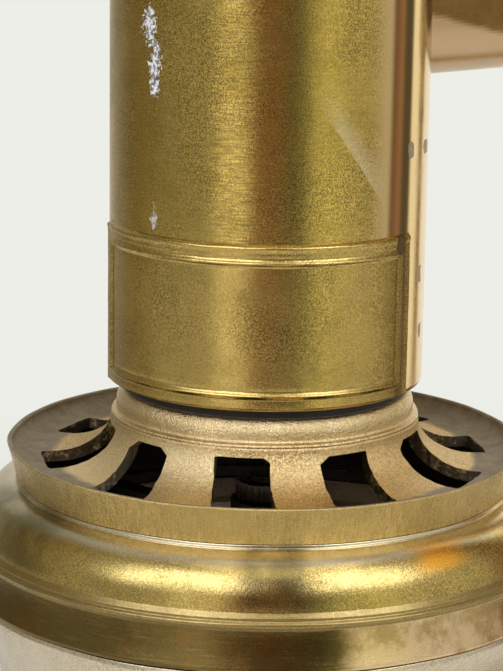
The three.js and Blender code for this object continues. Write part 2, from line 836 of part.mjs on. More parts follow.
// Urn on a short foot, open at the top
const urnFootBase = blockTop;
const urnBase = urnFootBase + urnFootHeight;
const urnFootProfile = [
  [oilBoreRadius, urnFootBase],
  [urnFootRadius, urnFootBase],
  [urnFootRadius, urnFootBase + castWall],
  ...quarter(
    [urnFootRadius - castWall, urnFootBase + castWall],
    [urnFootWaist, urnBase - castWall],
    false,
  ),
  [urnBottomRadius, urnBase - castWall],
  [urnBottomRadius, urnBase],
  [oilBoreRadius, urnBase],
  [oilBoreRadius, urnFootBase],
];
piece(lamp, "urn_foot", turned(urnFootProfile, plainFacets), materials.brass);

// The urn's sheet is soldered up from a floor and two spun shells that meet at the belly
const urnFloorRadius = urnBottomRadius - 2 * seatGap;
const urnFloor = ring(oilBoreRadius, urnFloorRadius, urnBase, urnBase + sheetWall, plainFacets);
piece(lamp, "urn_floor_ring", urnFloor, materials.brass);

const urnSeam = urnBase + urnBellyHeight;
const urnLowerOutside = quarter(
  [urnBottomRadius, urnBase], [urnBellyRadius, urnSeam], false, longArcSteps,
);
piece(lamp, "urn_lower_shell", turned(shell(urnLowerOutside, sheetWall), plainFacets), materials.brass);

const urnUpperOutside = quarter(
  [urnBellyRadius, urnSeam + seatGap], [urnMouthRadius, urnBase + urnHeight], true,
);
piece(lamp, "urn_upper_shell", turned(shell(urnUpperOutside, sheetWall), plainFacets), materials.brass);

const rimBase = urnBase + urnHeight + seatGap;
const rimTop = rimBase + urnRimHeight;
const rimBore = urnMouthRadius - sheetWall;
const rimRingRadius = urnMouthRadius + urnRimReach;
const urnRim = ring(rimBore, rimRingRadius, rimBase, rimTop, plainFacets);
piece(lamp, "urn_rim_ring", urnRim, materials.brass);

// Cover with the oil bottle under it, lifted out together to be filled
const coverBase = rimTop + seatGap;
const coverTop = coverBase + coverHeight;
const coverLipRadius = rimBore - seatGap;
const coverProfile = [
  [coverLipRadius - sheetWall, coverBase],
  [coverLipRadius - sheetWall, coverBase - coverLipDepth],
  [coverLipRadius, coverBase - coverLipDepth],
  [coverLipRadius, coverBase],
  [rimRingRadius, coverBase],
  [rimRingRadius, coverBase + castWall],
  ...quarter([rimRingRadius - castWall, coverBase + castWall], [coverTopRadius, coverTop], true),
  [rodRadius, coverTop],
  [rodRadius, coverTop - sheetWall],
  ...quarter(
    [rimRingRadius - 2 * castWall, coverBase + castWall],
    [coverTopRadius, coverTop - sheetWall],
    true,
  ).reverse(),
  [coverLipRadius - sheetWall, coverBase],
];
piece(lamp, "urn_cover", turned(coverProfile, plainFacets), materials.brass);

const coverFinialBase = coverTop + seatGap;
const coverFinialProfile = [
  [0, coverTop - castWall],
  [rodRadius - seatGap, coverTop - castWall],
  [rodRadius - seatGap, coverFinialBase],
  [coverFinialRadius, coverFinialBase],
  [coverFinialRadius, coverFinialBase + castWall],
  [coverFinialWaist, coverFinialBase + finialWaistShare * coverFinialHeight],
  ...quarter(
    [coverFinialWaist, coverFinialBase + finialWaistShare * coverFinialHeight],
    [coverFinialRadius, coverFinialBase + finialBellyShare * coverFinialHeight],
    false,
    shortArcSteps,
  ).slice(1),
  ...quarter(
    [coverFinialRadius, coverFinialBase + finialBellyShare * coverFinialHeight],
    [0, coverFinialBase + coverFinialHeight],
    true,
  ).slice(1),
];
piece(lamp, "cover_finial", turned(coverFinialProfile, smallFacets), materials.brass);

const bottleTop = coverBase - coverLipDepth - seatGap;
const bottleBase = bottleTop - bottleHeight;
const bottleOutside = [
  [mouthRadius, bottleBase - mouthLength],
  [mouthRadius, bottleBase],
  ...quarter([mouthRadius, bottleBase], [bottleRadius, bottleBase + bottleShoulder], false).slice(1),
  [bottleRadius, bottleTop - castWall],
];
const bottleInside = shell(bottleOutside, bottleWall).slice(bottleOutside.length, -1);
const bottleHangRadius = coverLipRadius - 2 * seatGap;
const bottleProfile = [
  ...bottleOutside,
  [bottleHangRadius, bottleTop - castWall],
  [bottleHangRadius, bottleTop],
  [0, bottleTop],
  [0, bottleTop - castWall],
  ...bottleInside,
  bottleOutside[0],
];
piece(lamp, "oil_bottle", turned(bottleProfile, smallFacets), materials.tin);

// Drop valve in the bottle's mouth: its rod stands on the urn's floor and holds the disc up
const mouthFoot = bottleBase - mouthLength;
const mouthBore = mouthRadius - bottleWall;
const seatRing = ring(seatBore, mouthBore - seatGap, mouthFoot, mouthFoot + valveDiscThickness, smallFacets);
piece(lamp, "valve_seat_ring", seatRing, materials.tin);

const rodFoot = urnBase + sheetWall + seatGap;
const discFoot = mouthFoot + valveDiscThickness + valveLift;
const valveProfile = [
  [0, rodFoot],
  [valveFootRadius, rodFoot],
  [valveFootRadius, rodFoot + valveDiscThickness],
  [valveRodRadius, rodFoot + valveDiscThickness],
  [valveRodRadius, discFoot],
  [valveDiscRadius, discFoot],
  [valveDiscRadius, discFoot + valveDiscThickness],
  [0, discFoot + valveDiscThickness],
];
piece(lamp, "valve_rod", turned(valveProfile, smallFacets), materials.tin);

// Column: capital, shaft, ring, domed foot, step and slab, drawn together by a rod
const slabTop = baseSlabThickness;
const stepTop = slabTop + stepThickness;
const domeTop = stepTop + domeHeight;
const ringTop = domeTop + ringHeight;
const capitalBase = blockFoot - capitalHeight;
const rodBore = rodRadius + seatGap;

// A square plate with rounded edges
function squarePlate(half, low, high, edge) {
  const inner = half - edge;
  const shape = new THREE.Shape([
    new THREE.Vector2(-inner, -inner),
    new THREE.Vector2(inner, -inner),
    new THREE.Vector2(inner, inner),
    new THREE.Vector2(-inner, inner),
  ]);
  const options = {
    depth: high - low - 2 * edge,
    bevelEnabled: true,
    bevelThickness: edge,
    bevelSize: edge,
    bevelSegments: edgeSteps,
  };
  return new THREE.ExtrudeGeometry(shape, options).translate(0, 0, low + edge);
}
piece(lamp, "base_slab", squarePlate(baseHalf, 0, slabTop, slabEdge), materials.brass);

const nutHollow = ring(0, stepHollowRadius, slabTop - cutOver, stepTop - stepWeb, smallFacets);
const step = solid(squarePlate(stepHalf, slabTop, stepTop, stepEdge))
  .subtract(solid(nutHollow))
  .subtract(solid(ring(0, rodBore, slabTop, stepTop + cutOver, smallFacets)));
piece(lamp, "base_step", geometryOf(step), materials.brass);

const domeOutside = [
  [domeRadius, stepTop],
  [domeRadius, stepTop + castWall],
  ...quarter([domeRadius - castWall, stepTop + 2 * castWall], [domeNeckRadius, domeTop], true),
  [rodBore, domeTop],
];
const domeProfile = [
  ...domeOutside,
  [rodBore, domeTop - domeWall],
  ...quarter(
    [domeRadius - castWall - domeWall, stepTop + 2 * castWall],
    [domeNeckRadius, domeTop - domeWall],
    true,
  ).reverse(),
  [domeRadius - castWall - domeWall, stepTop],
  domeOutside[0],
];
piece(lamp, "base_dome", turned(domeProfile, plainFacets), materials.brass);
piece(lamp, "base_weight", ring(rodBore, weightRadius, stepTop, stepTop + weightHeight, plainFacets), materials.iron);

const columnRingProfile = [
  [rodBore, domeTop],
  [shaftRadius, domeTop],
  ...quarter([shaftRadius, domeTop], [ringRadius, (domeTop + ringTop) / 2], false, shortArcSteps).slice(1),
  ...quarter([ringRadius, (domeTop + ringTop) / 2], [shaftRadius, ringTop], true, shortArcSteps).slice(1),
  [rodBore, ringTop],
  [rodBore, domeTop],
];
piece(lamp, "column_ring", turned(columnRingProfile, plainFacets), materials.brass);

const shaftProfile = [
  [shaftBore, ringTop],
  [shaftRadius, ringTop],
  [shaftTopRadius, capitalBase],
  [shaftBore, capitalBase],
  [shaftBore, ringTop],
];
piece(lamp, "column_shaft", turned(shaftProfile, plainFacets), materials.brass);

const capitalProfile = [
  [rodBore, capitalBase],
  [shaftRadius + castWall, capitalBase],
  [shaftRadius + castWall, capitalBase + 2 * castWall],
  [shaftTopRadius, capitalBase + 3 * castWall],
  ...quarter(
    [shaftTopRadius, capitalBase + 3 * castWall],
    [armBlockRadius, blockFoot - castWall],
    true,
  ).slice(1),
  [armBlockRadius, blockFoot],
  [rodBore, blockFoot],
  [rodBore, capitalBase],
];
piece(lamp, "column_capital", turned(capitalProfile, plainFacets), materials.brass);

const rodLow = slabTop + seatGap;
const rodHigh = blockFoot + rodThreadDepth - seatGap;
piece(lamp, "tie_rod", ring(0, rodRadius, rodLow, rodHigh, smallFacets), materials.iron);
const rodNutTop = stepTop - stepWeb - seatGap;
const rodNut = ring(rodBore, rodNutRadius, rodNutTop - rodNutHeight, rodNutTop, smallFacets);
piece(lamp, "tie_rod_nut", rodNut, materials.iron);

export default lamp;
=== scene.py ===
import math
import random

import bmesh
import bpy
from mathutils import Matrix, Vector, noise


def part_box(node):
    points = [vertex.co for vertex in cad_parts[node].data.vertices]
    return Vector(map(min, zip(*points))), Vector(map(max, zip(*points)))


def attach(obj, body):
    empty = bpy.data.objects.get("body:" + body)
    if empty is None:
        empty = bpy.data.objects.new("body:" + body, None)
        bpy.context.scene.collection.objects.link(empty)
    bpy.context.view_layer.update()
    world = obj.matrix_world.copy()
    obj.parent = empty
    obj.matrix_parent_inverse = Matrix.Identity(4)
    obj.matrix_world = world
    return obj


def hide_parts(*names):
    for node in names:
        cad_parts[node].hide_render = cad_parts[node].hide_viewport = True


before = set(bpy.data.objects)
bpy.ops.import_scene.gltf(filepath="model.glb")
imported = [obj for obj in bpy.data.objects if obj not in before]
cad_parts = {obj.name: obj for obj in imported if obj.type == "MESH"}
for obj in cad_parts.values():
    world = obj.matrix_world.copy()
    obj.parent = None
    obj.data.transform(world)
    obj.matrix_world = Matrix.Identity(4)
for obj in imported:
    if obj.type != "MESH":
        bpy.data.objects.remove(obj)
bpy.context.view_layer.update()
rng = random.Random(7)

MM = 0.001
PER_MM = 1000.0
BURNER = Vector((-0.140, 0.0, 0.202))
COLUMN = Vector((0.0, 0.0, 0.0))
ROUND = 2 * math.pi
FRONT_ANGLE = 229.0


def quarter(a, b, upright, steps=14):
    points = []
    for i in range(steps + 1):
        turn = math.pi / 2 * i / steps
        slow, quick = 1 - math.cos(turn), math.sin(turn)
        across, up = (slow, quick) if upright else (quick, slow)
        points.append((a[0] + (b[0] - a[0]) * across, a[1] + (b[1] - a[1]) * up))
    return points


def shell(outside, wall):
    inside = []
    for i, (r, z) in enumerate(outside):
        before, after = outside[max(i - 1, 0)], outside[min(i + 1, len(outside) - 1)]
        run, rise = after[0] - before[0], after[1] - before[1]
        length = math.hypot(run, rise)
        inside.append((r - wall * rise / length, z + wall * run / length))
    return outside + inside[::-1] + [outside[0]]


def soften(points, radius, steps=4):
    closed = points[0] == points[-1]
    base = points[:-1] if closed else points
    out = []
    count = len(base)
    for i, p in enumerate(base):
        if not closed and i in (0, count - 1):
            out.append(p)
            continue
        a, b = base[i - 1], base[(i + 1) % count]
        va, vb = Vector((a[0] - p[0], a[1] - p[1])), Vector((b[0] - p[0], b[1] - p[1]))
        if va.length < 1e-6 or vb.length < 1e-6 or p[0] < 1e-6:
            out.append(p)
            continue
        bend = math.pi - va.angle(vb)
        if bend < math.radians(16):
            out.append(p)
            continue
        ca, cb = min(radius, va.length * 0.45), min(radius, vb.length * 0.45)
        pa = Vector(p) + va.normalized() * ca
        pb = Vector(p) + vb.normalized() * cb
        for k in range(steps + 1):
            t = k / steps
            q = pa * (1 - t) ** 2 + Vector(p) * 2 * t * (1 - t) + pb * t ** 2
            out.append((q.x, q.y))
    if closed:
        out.append(out[0])
    return out


def add(name, data, place=(0, 0, 0)):
    thing = bpy.data.objects.new(name, data)
    thing.location = place
    bpy.context.scene.collection.objects.link(thing)
    return thing


def finish_mesh(name, mesh, place, material, sharp):
    mesh.shade_smooth()
    mesh.set_sharp_from_angle(angle=math.radians(sharp))
    mesh.materials.append(material)
    return add(name, mesh, place)


def surface(name, verts, faces, place, material, sharp=32.0):
    mesh = bpy.data.meshes.new(name)
    mesh.from_pydata(verts, [], faces)
    mesh.validate()
    return finish_mesh(name, mesh, place, material, sharp)


def mesh_from(name, maker):
    mesh = bpy.data.meshes.new(name)
    bm = bmesh.new()
    maker(bm)
    bm.to_mesh(mesh)
    bm.free()
    return mesh


def turned(name, profile, place, material, facets, edge, wobble=0.0):
    points = soften(profile, edge) if edge else list(profile)
    closed = points[0] == points[-1]
    if closed:
        points = points[:-1]
    area = 0.0
    for i, p in enumerate(points):
        q = points[(i + 1) % len(points)]
        area += p[0] * q[1] - q[0] * p[1]
    if area < 0:
        points.reverse()
    verts, faces, rows = [], [], []
    for r, z in points:
        if r < 1e-6:
            rows.append([len(verts)])
            verts.append((0, 0, z * MM))
            continue
        row = []
        for j in range(facets):
            turn = ROUND * j / facets
            rr = r
            if wobble:
                rr += wobble * noise.noise(Vector((r * math.cos(turn), r * math.sin(turn), z)) * 0.12)
            row.append(len(verts))
            verts.append((rr * MM * math.cos(turn), rr * MM * math.sin(turn), z * MM))
        rows.append(row)
    pairs = list(zip(rows, rows[1:]))
    if closed:
        pairs.append((rows[-1], rows[0]))
    for low, high in pairs:
        for j in range(facets):
            k = (j + 1) % facets
            if len(low) == 1 and len(high) == 1:
                break
            if len(low) == 1:
                faces.append((low[0], high[k], high[j]))
            elif len(high) == 1:
                faces.append((low[j], low[k], high[0]))
            else:
                faces.append((low[j], low[k], high[k], high[j]))
    return surface(name, verts, faces, place, material)


def along_x(thing, x, z):
    """Lays a piece that was turned about Z along X."""
    thing.data.transform(Matrix.Rotation(math.pi / 2, 4, "Y"))
    thing.location = (x, 0.0, z)
    return thing


def stands_for(thing, body, *nodes):
    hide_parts(*nodes)
    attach(thing, body)
    return thing


class Nodes:
    def __init__(self, name):
        self.material = bpy.data.materials.new(name)
        self.material.use_nodes = True
        self.tree = self.material.node_tree
        self.tree.nodes.clear()

    def node(self, kind, **settings):
        made = self.tree.nodes.new(kind)
        for key, value in settings.items():
            if key.startswith("in_"):
                label = key[3:]
                socket = made.inputs[int(label)] if label.isdigit() else made.inputs[label.replace("_", " ")]
                if isinstance(value, bpy.types.NodeSocket):
                    self.tree.links.new(value, socket)
                elif socket.type == "RGBA":
                    socket.default_value = (*value[:3], 1.0)
                else:
                    socket.default_value = value
            else:
                setattr(made, key, value)
        return made

    def math(self, operation, a, b=None, c=None, clamp=False):
        given = {"in_%d" % i: value for i, value in enumerate((a, b, c)) if value is not None}
        return self.node("ShaderNodeMath", operation=operation, use_clamp=clamp, **given).outputs[0]

    def times(self, a, b, clamp=False):
        return self.math("MULTIPLY", a, b, clamp=clamp)

    def plus(self, a, b, clamp=False):
        return self.math("ADD", a, b, clamp=clamp)

    def minus(self, a, b):
        return self.math("SUBTRACT", a, b)

    def most(self, a, b):
        return self.math("MAXIMUM", a, b)

    def apart(self, a, b):
        return self.math("ABSOLUTE", self.minus(a, b))

    def step(self, value, low, high, out_low=0.0, out_high=1.0, kind="SMOOTHSTEP"):
        made = self.node("ShaderNodeMapRange", interpolation_type=kind, in_Value=value, in_From_Min=low,
                         in_From_Max=high, in_To_Min=out_low, in_To_Max=out_high)
        return made.outputs["Result"]

    def fall(self, value, low, high):
        return self.step(value, low, high, 1, 0)

    def noise(self, vector, scale, detail=4.0, rough=0.55, distortion=0.0):
        made = self.node("ShaderNodeTexNoise", in_Vector=vector, in_Scale=scale, in_Detail=detail,
                         in_Roughness=rough, in_Distortion=distortion)
        return made.outputs["Fac"]

    def place(self):
        return self.node("ShaderNodeTexCoord").outputs["Object"]

    def normal(self):
        return self.node("ShaderNodeNewGeometry").outputs["True Normal"]

    def parts(self, vector):
        return self.node("ShaderNodeSeparateXYZ", in_0=vector).outputs

    def bump(self, height, strength, distance):
        made = self.node("ShaderNodeBump", in_Height=height, in_Strength=strength, in_Distance=distance)
        return made.outputs["Normal"]

    def drawn(self, turn, round_scale, height, up_scale, detail, rough, distortion=0.0):
        """Noise drawn out into lines round the piece's axis."""
        across, up = self.times(turn, round_scale), self.times(height, up_scale)
        made = self.node("ShaderNodeCombineXYZ", in_0=across, in_1=up)
        return self.noise(made.outputs[0], 1.0, detail, rough, distortion)

    def mix(self, factor, a, b, blend="MIX"):
        made = self.node("ShaderNodeMix", data_type="RGBA", blend_type=blend, in_0=factor, in_6=a, in_7=b)
        return made.outputs[2]

    def tint(self, colour, mask, strength, tone):
        return self.mix(self.times(mask, strength), colour, tone)

    def rougher(self, roughness, mask, strength):
        return self.plus(roughness, self.times(mask, strength), clamp=True)

    def output(self, shader):
        self.node("ShaderNodeOutputMaterial", in_Surface=shader)
        return self.material

    def metal(self, **settings):
        return self.output(self.node("ShaderNodeBsdfPrincipled", **settings).outputs["BSDF"])


def rgb(r, g, b):
    return (r, g, b, 1.0)


def polar(n, scale_turn, scale_rise):
    """Coordinates that run round and along the piece's own axis."""
    place = n.place()
    x, y, z = n.parts(place)
    turn = n.math("ARCTAN2", y, x)
    radius = n.math("SQRT", n.plus(n.times(x, x), n.times(y, y)))
    joined = n.node("ShaderNodeCombineXYZ", in_0=n.times(turn, scale_turn), in_1=n.times(radius, scale_rise),
                    in_2=n.times(z, scale_rise))
    return place, turn, radius, z, joined.outputs[0]


def worn(n, place, bright, dull, patina, rough, brushed, speckle, grime_and_shade, grain):
    """Brass with patina, specks, brush streaks, dirt and painted shade in its corners and a few dark flecks.
    """
    clouds = n.step(n.noise(place, 42, 7, 0.6, 0.6), 0.38, 0.70)
    wear = n.times(n.plus(clouds, n.times(n.step(n.mottles, 0.46, 0.66), 0.6)), patina, clamp=True)
    colour = n.mix(wear, bright, dull)
    crowd = n.step(n.noise(place, 120, 3), 0.35, 0.65, 0.35, 1)
    specks = n.times(n.times(n.step(n.specks, 0.54, 0.68), crowd), speckle)
    colour = n.mix(specks, colour, (dull[0] * 0.4, dull[1] * 0.4, dull[2] * 0.35))
    shade = n.step(n.fine, 0.36, 0.66, -0.6 * grain, 0.40 * grain)
    patchy = n.step(n.noise(place, 70, 4, 0.6), 0.38, 0.62, 0.5, 1.25)
    colour = n.mix(1, colour, n.plus(n.times(shade, patchy), 1), "MULTIPLY")
    streak = n.times(n.step(n.brush, 0.35, 0.75), brushed)
    colour = n.tint(colour, streak, 0.4, dull)
    # occlusion darkens the corners: grime there and a painted shade
    crevice = n.node("ShaderNodeAmbientOcclusion", samples=4, only_local=True, in_Distance=0.0022)
    grime_and_crevice_shade = n.times(n.fall(crevice.outputs["AO"], 0.35, 0.9), grime_and_shade)
    colour = n.mix(grime_and_crevice_shade, colour, (0.07, 0.042, 0.014))
    flecks = n.node("ShaderNodeTexVoronoi", feature="F1", in_Vector=place, in_Scale=130)
    rare = n.step(n.noise(place, 95, 2), 0.60, 0.64)
    flecks = n.times(n.fall(flecks.outputs["Distance"], 0.04, 0.10), rare)
    colour = n.tint(colour, flecks, 0.8, (0.05, 0.035, 0.012))
    roughness = n.plus(n.times(wear, 0.12), rough)
    for mask, amount in ((specks, 0.20), (grime_and_crevice_shade, 0.35), (streak, 0.06)):
        roughness = n.rougher(roughness, mask, amount)
    return colour, roughness


def darken_inner_faces(n, turn, z, colour, roughness, strength, tone):
    """Faces turned to the axis, below the collar's dish, are painted darker and duller."""
    inner = n.times(n.fall(outward(n, turn), -0.35, -0.05), n.fall(z, -11.2 * MM, -10.8 * MM))
    inner = n.times(inner, strength)
    n.matte = inner if n.matte is None else n.most(inner, n.matte)
    return n.mix(inner, colour, tone), n.rougher(roughness, inner, 0.4)


def relief(n, brushed, speckle, sand, grain):
    height = n.times(n.brush, brushed * 0.5)
    for texture, amount in ((n.specks, 0.5 * speckle + sand), (n.fine, 0.35 * grain), (n.mottles, 0.5)):
        height = n.plus(height, n.times(texture, amount))
    return height if n.calm is None else n.times(height, n.minus(1, n.calm))


def brass(name, bright, dull, patina, rough, brushed, speckle, grime_and_shade=0.6, coat=0.06, marks=None, sand=0,
          grain=0.5, inside=0, inner_tone=(0.035, 0.022, 0.012)):
    n = Nodes(name)
    place, turn, n.radius, z, lines = polar(n, 5, 2600)
    n.matte, n.calm = None, None
    n.mottles = n.noise(place, 260, 5, 0.65, 0.3)
    n.specks = n.noise(place, 2600, 4, 0.7)
    n.fine = n.noise(place, 5200, 3, 0.6)
    n.brush = n.noise(lines, 1, 3, 0.6)
    colour, roughness = worn(n, place, bright, dull, patina, rough, brushed, speckle, grime_and_shade, grain)
    if marks:
        colour, roughness = marks(n, place, turn, z, colour, roughness)
    if inside:
        colour, roughness = darken_inner_faces(n, turn, z, colour, roughness, inside, inner_tone)
    normal = n.bump(relief(n, brushed, speckle, sand, grain), 0.30 + sand * 0.2, 0.12 * MM)
    metallic = 1 if n.matte is None else n.step(n.matte, 0, 1, 1, 0.1)
    return n.metal(in_Base_Color=colour, in_Roughness=roughness, in_Normal=normal, in_Metallic=metallic,
                   in_Coat_Weight=coat, in_Coat_Roughness=0.12, in_Coat_Tint=(1, 0.93, 0.78))


def spot(n, turn, z, place, angle, half_angle, low, high, threshold, scale=900):
    """A ragged patch on the burner tube between two heights, centred on an angle from the front."""
    centre = math.radians(FRONT_ANGLE + angle)
    centre = math.atan2(math.sin(centre), math.cos(centre))
    across = n.fall(n.apart(turn, centre), 0, math.radians(half_angle))
    middle, half = (low + high) / 2 * MM, (high - low) / 2 * MM
    up = n.fall(n.apart(z, middle), half * 0.5, half)
    ragged = n.noise(place, scale, 4, 0.6)
    inside = n.times(n.times(across, up), ragged)
    return n.step(inside, threshold, threshold + 0.05)


def from_front(n, turn):
    """The angle from the front of the burner in degrees, positive to the camera's right."""
    shifted = n.minus(turn, math.radians(FRONT_ANGLE - 360))
    return n.times(n.math("WRAP", shifted, math.pi, -math.pi), 180 / math.pi)


def outward(n, turn):
    """1 where the surface faces straight away from the piece's axis, -1 where it faces the axis."""
    spoke = n.node("ShaderNodeCombineXYZ", in_0=n.math("COSINE", turn), in_1=n.math("SINE", turn)).outputs[0]
    made = n.node("ShaderNodeVectorMath", operation="DOT_PRODUCT", in_0=spoke, in_1=n.normal())
    return made.outputs["Value"]


def facing_up(n):
    """1 where the surface faces straight up, -1 where it faces down."""
    return n.parts(n.normal())[2]


def near(n, value, middle, half, core=0.4):
    """1 at a middle value, falling to 0 at a distance from it."""
    return n.fall(n.apart(value, middle), half * core, half)


# Marks on the tube: angle from the front and half width in degrees, lower and upper height in millimetres,
# and for the white crumbs a strength
TUBE_CRUMBS = ((-45.8, 4.8, 44.6, 51.4, 1), (-43.6, 4.2, 38.6, 48.2, 1), (-43.8, 2.4, 22.2, 26.2, 0.6))
TUBE_SPOTS = ((60, 5, 30.9, 33.9), (75, 8, 30.9, 33.5), (71, 4.5, 13.9, 17.2),
              (73, 4, 6.5, 9.4), (-30, 1.6, 60, 66))


def tube_marks(n, place, turn, z, colour, roughness):
    """Crumbs of old solder, brown spots, a smear, fine lines, and a polished strip at the far right whose
    colour is painted lighter, a painted sheen.
    """
    angle = from_front(n, turn)
    height = n.times(z, PER_MM)
    # a pale smear that ends in a slanting line down to the plate's corner
    slope, line_angle, line_height = 0.473, 21.8, 36.3
    along = n.plus(n.times(n.minus(angle, line_angle), slope), n.minus(height, line_height))
    along = n.plus(along, n.times(n.noise(place, 240, 3), 1))
    within = n.times(n.step(angle, 17, 26), n.fall(angle, 44, 52))
    smear = n.times(n.step(along, 0.35, 0.8), n.step(along, 0.8, 6.5, 0.42, 0))
    smear = n.times(smear, within)
    colour = n.mix(smear, colour, (0.86, 0.72, 0.46))
    roughness = n.rougher(roughness, smear, 0.2)
    # fine lines that run round the tube, deepest where it's brightest
    lines = n.step(n.drawn(turn, 9, height, 4.2, 3, 0.6, 0.6), 0.34, 0.66, -1, 1)
    depth = n.plus(n.times(near(n, angle, -12.5, 9, 0.7), 0.17), 0.07)
    colour = n.mix(1, colour, n.plus(n.times(lines, depth), 1), "MULTIPLY")
    # the far right is polished and its colour painted lighter, a painted sheen
    polish_and_sheen = n.times(n.step(angle, 36, 46), 0.9)
    colour = n.mix(polish_and_sheen, colour, (0.74, 0.54, 0.25))
    mirror = n.times(polish_and_sheen, n.step(angle, 61.5, 65, 0.75, 0.1))
    roughness = n.times(roughness, n.minus(1, mirror))
    n.calm = polish_and_sheen
    n.matte = 0
    for middle, half, low, high, strength in TUBE_CRUMBS:
        mask = n.times(crumbs(n, place, angle, height, middle, half, low, high), strength)
        pits = n.step(n.noise(place, 1900, 4, 0.7), 0.47, 0.56)
        colour = n.mix(mask, colour, n.mix(pits, (1, 1, 1), (0.22, 0.20, 0.16)))
        n.matte = n.most(n.matte, mask)
    for middle, half, low, high in TUBE_SPOTS:
        mask = spot(n, turn, z, place, middle, half, low, high, 0.28, 1100)
        colour = n.tint(colour, mask, 0.8, (0.22, 0.19, 0.14))
        n.matte = n.most(n.matte, n.times(mask, 0.6))
        roughness = n.rougher(roughness, mask, 0.3)
    return colour, roughness


def plate_marks(n, place, turn, z, colour, roughness):
    """Old solder has left the plate's top edge dark by its right corner."""
    mask = spot(n, turn, z, place, 53, 5, 18.6, 23, 0.22, 1100)
    colour = n.tint(colour, mask, 0.85, (0.06, 0.045, 0.02))
    shadow = near(n, from_front(n, turn), 53.5, 3, 0.5)
    colour = n.tint(colour, shadow, 0.6, (0.16, 0.10, 0.03))
    return colour, n.rougher(roughness, mask, 0.3)


def arm_painted_light(n, place, turn, z, colour, roughness):
    """The pipe is painted golden on top, a painted highlight, and pale below, a painted reflection of the
    pale ground, over its brown side, widest by the burner.
    """
    up = facing_up(n)
    light_split = n.plus(up, n.times(n.minus(n.noise(place, 130, 4), 0.5), 0.22))
    along = n.times(n.parts(place)[0], PER_MM)
    edge = n.most(n.plus(n.times(n.plus(along, 119), -0.026), 0.03), -0.4)
    # painted highlight on top and painted reflection of the ground below
    colour = n.mix(n.step(light_split, 0.22, 0.42, 0, 0.85), colour, (0.74, 0.47, 0.12))
    colour = n.mix(n.step(n.minus(light_split, edge), -0.10, 0.03, 0.85, 0), colour, (0.72, 0.50, 0.28))
    return colour, roughness


def collar_marks(n, place, turn, z, colour, roughness):
    """The cast dish is painted a dull grey-brown. The turned neck and the rim's outer wall are smooth, with
    fine lines. The top under the tube carries a painted shadow, the window walls a painted shade with bright
    file marks, and the lit side a painted highlight.
    """
    height = n.times(z, PER_MM)
    reach = n.times(n.radius, PER_MM)
    facing = outward(n, turn)
    drift = n.times(n.minus(n.noise(place, 300, 4, 0.6), 0.5), 2)
    dish = n.times(n.step(n.plus(reach, drift), 27.6, 29), n.fall(facing, 0.3, 0.55))
    # the dish is painted a dull, mottled grey-brown and made matte
    dish_mottle = n.step(n.noise(place, 420, 5, 0.7), 0.35, 0.68)
    dish_grey = n.mix(dish_mottle, (0.27, 0.235, 0.155), (0.17, 0.14, 0.085))
    colour = n.tint(colour, dish, 0.92, dish_grey)
    roughness = n.rougher(roughness, dish, 0.22)
    n.matte = n.times(dish, 0.5)
    streaks = n.drawn(turn, 150, height, 0.35, 4, 0.6)
    stained = n.step(n.noise(place, 90, 5, 0.6), 0.40, 0.62)
    wall = n.times(n.step(reach, 33, 33.3), n.step(facing, 0.55, 0.8))
    olive = n.mix(n.step(streaks, 0.36, 0.66), (0.70, 0.51, 0.185), (0.50, 0.365, 0.12))
    olive = n.mix(n.times(stained, 0.5), olive, (0.38, 0.27, 0.09))
    colour = n.tint(colour, wall, 0.95, olive)
    neck = n.times(n.step(height, -4.9, -4.7), n.fall(height, -1.3, -1.15))
    # the collar's top, where it runs up under the tube, is painted near black: a painted shadow in the gap
    gap = n.step(height, -1.3, -1.15)
    colour = n.mix(gap, colour, (0.012, 0.008, 0.004))
    n.matte = n.most(n.matte, gap)
    pale = n.mix(n.step(streaks, 0.36, 0.66), (0.92, 0.72, 0.38), (0.76, 0.57, 0.27))
    pale = n.mix(n.times(stained, 0.4), pale, (0.52, 0.37, 0.14))
    colour = n.tint(colour, neck, 0.95, pale)
    pits = n.step(n.noise(place, 1500, 4, 0.75), 0.50, 0.66)
    cast = n.times(n.step(height, -5, -5.3), n.minus(1, wall))
    colour = n.tint(colour, n.times(pits, cast), 0.45, (0.36, 0.24, 0.09))
    level = n.math("ABSOLUTE", facing_up(n))
    filed = n.times(n.fall(level, 0.15, 0.35), n.fall(facing, 0.55, 0.8))
    filed = n.times(filed, n.times(n.step(height, -5.3, -5.6), n.fall(reach, 30.4, 30.8)))
    bright_file = n.step(n.noise(place, 700, 5, 0.75), 0.50, 0.64)
    # the window walls are painted dark, a painted shade in the recesses, with bright file marks
    file_marks_and_shade = n.mix(bright_file, (0.05, 0.03, 0.012), (0.50, 0.34, 0.13))
    colour = n.tint(colour, filed, 0.9, file_marks_and_shade)
    lit_side = n.times(near(n, from_front(n, turn), -48, 42, 0.6), cast)
    colour = n.mix(n.times(lit_side, n.times(n.minus(1, dish), 0.4)), colour,
                   (1, 0.84, 0.48))
    smooth = n.most(neck, wall)
    roughness = n.rougher(roughness, smooth, -0.14)
    return colour, roughness


def crumbs(n, place, angle, height, middle, half, low, high):
    """A ragged smear between two heights in millimetres, round an angle from the front."""
    across = n.math("DIVIDE", n.apart(angle, middle), half)
    up = n.math("DIVIDE", n.apart(height, (low + high) / 2), (high - low) / 2)
    up = n.math("POWER", up, 3)
    wild = n.times(n.minus(n.noise(place, 760, 6, 0.75, 0.8), 0.5), 4.6)
    core = n.plus(n.minus(n.minus(1, across), up), wild)
    return n.step(core, 0.40, 0.50)


# Warm and dark patches on the moulding's shoulder: angle from the front, half width, colour and strength
SHOULDER_PATCHES = ((64, 14, (0.85, 0.50, 0.12), 0.4), (2, 9, (0.13, 0.11, 0.045), 0.65),
                   (-62, 24, (0.21, 0.175, 0.07), 0.8))


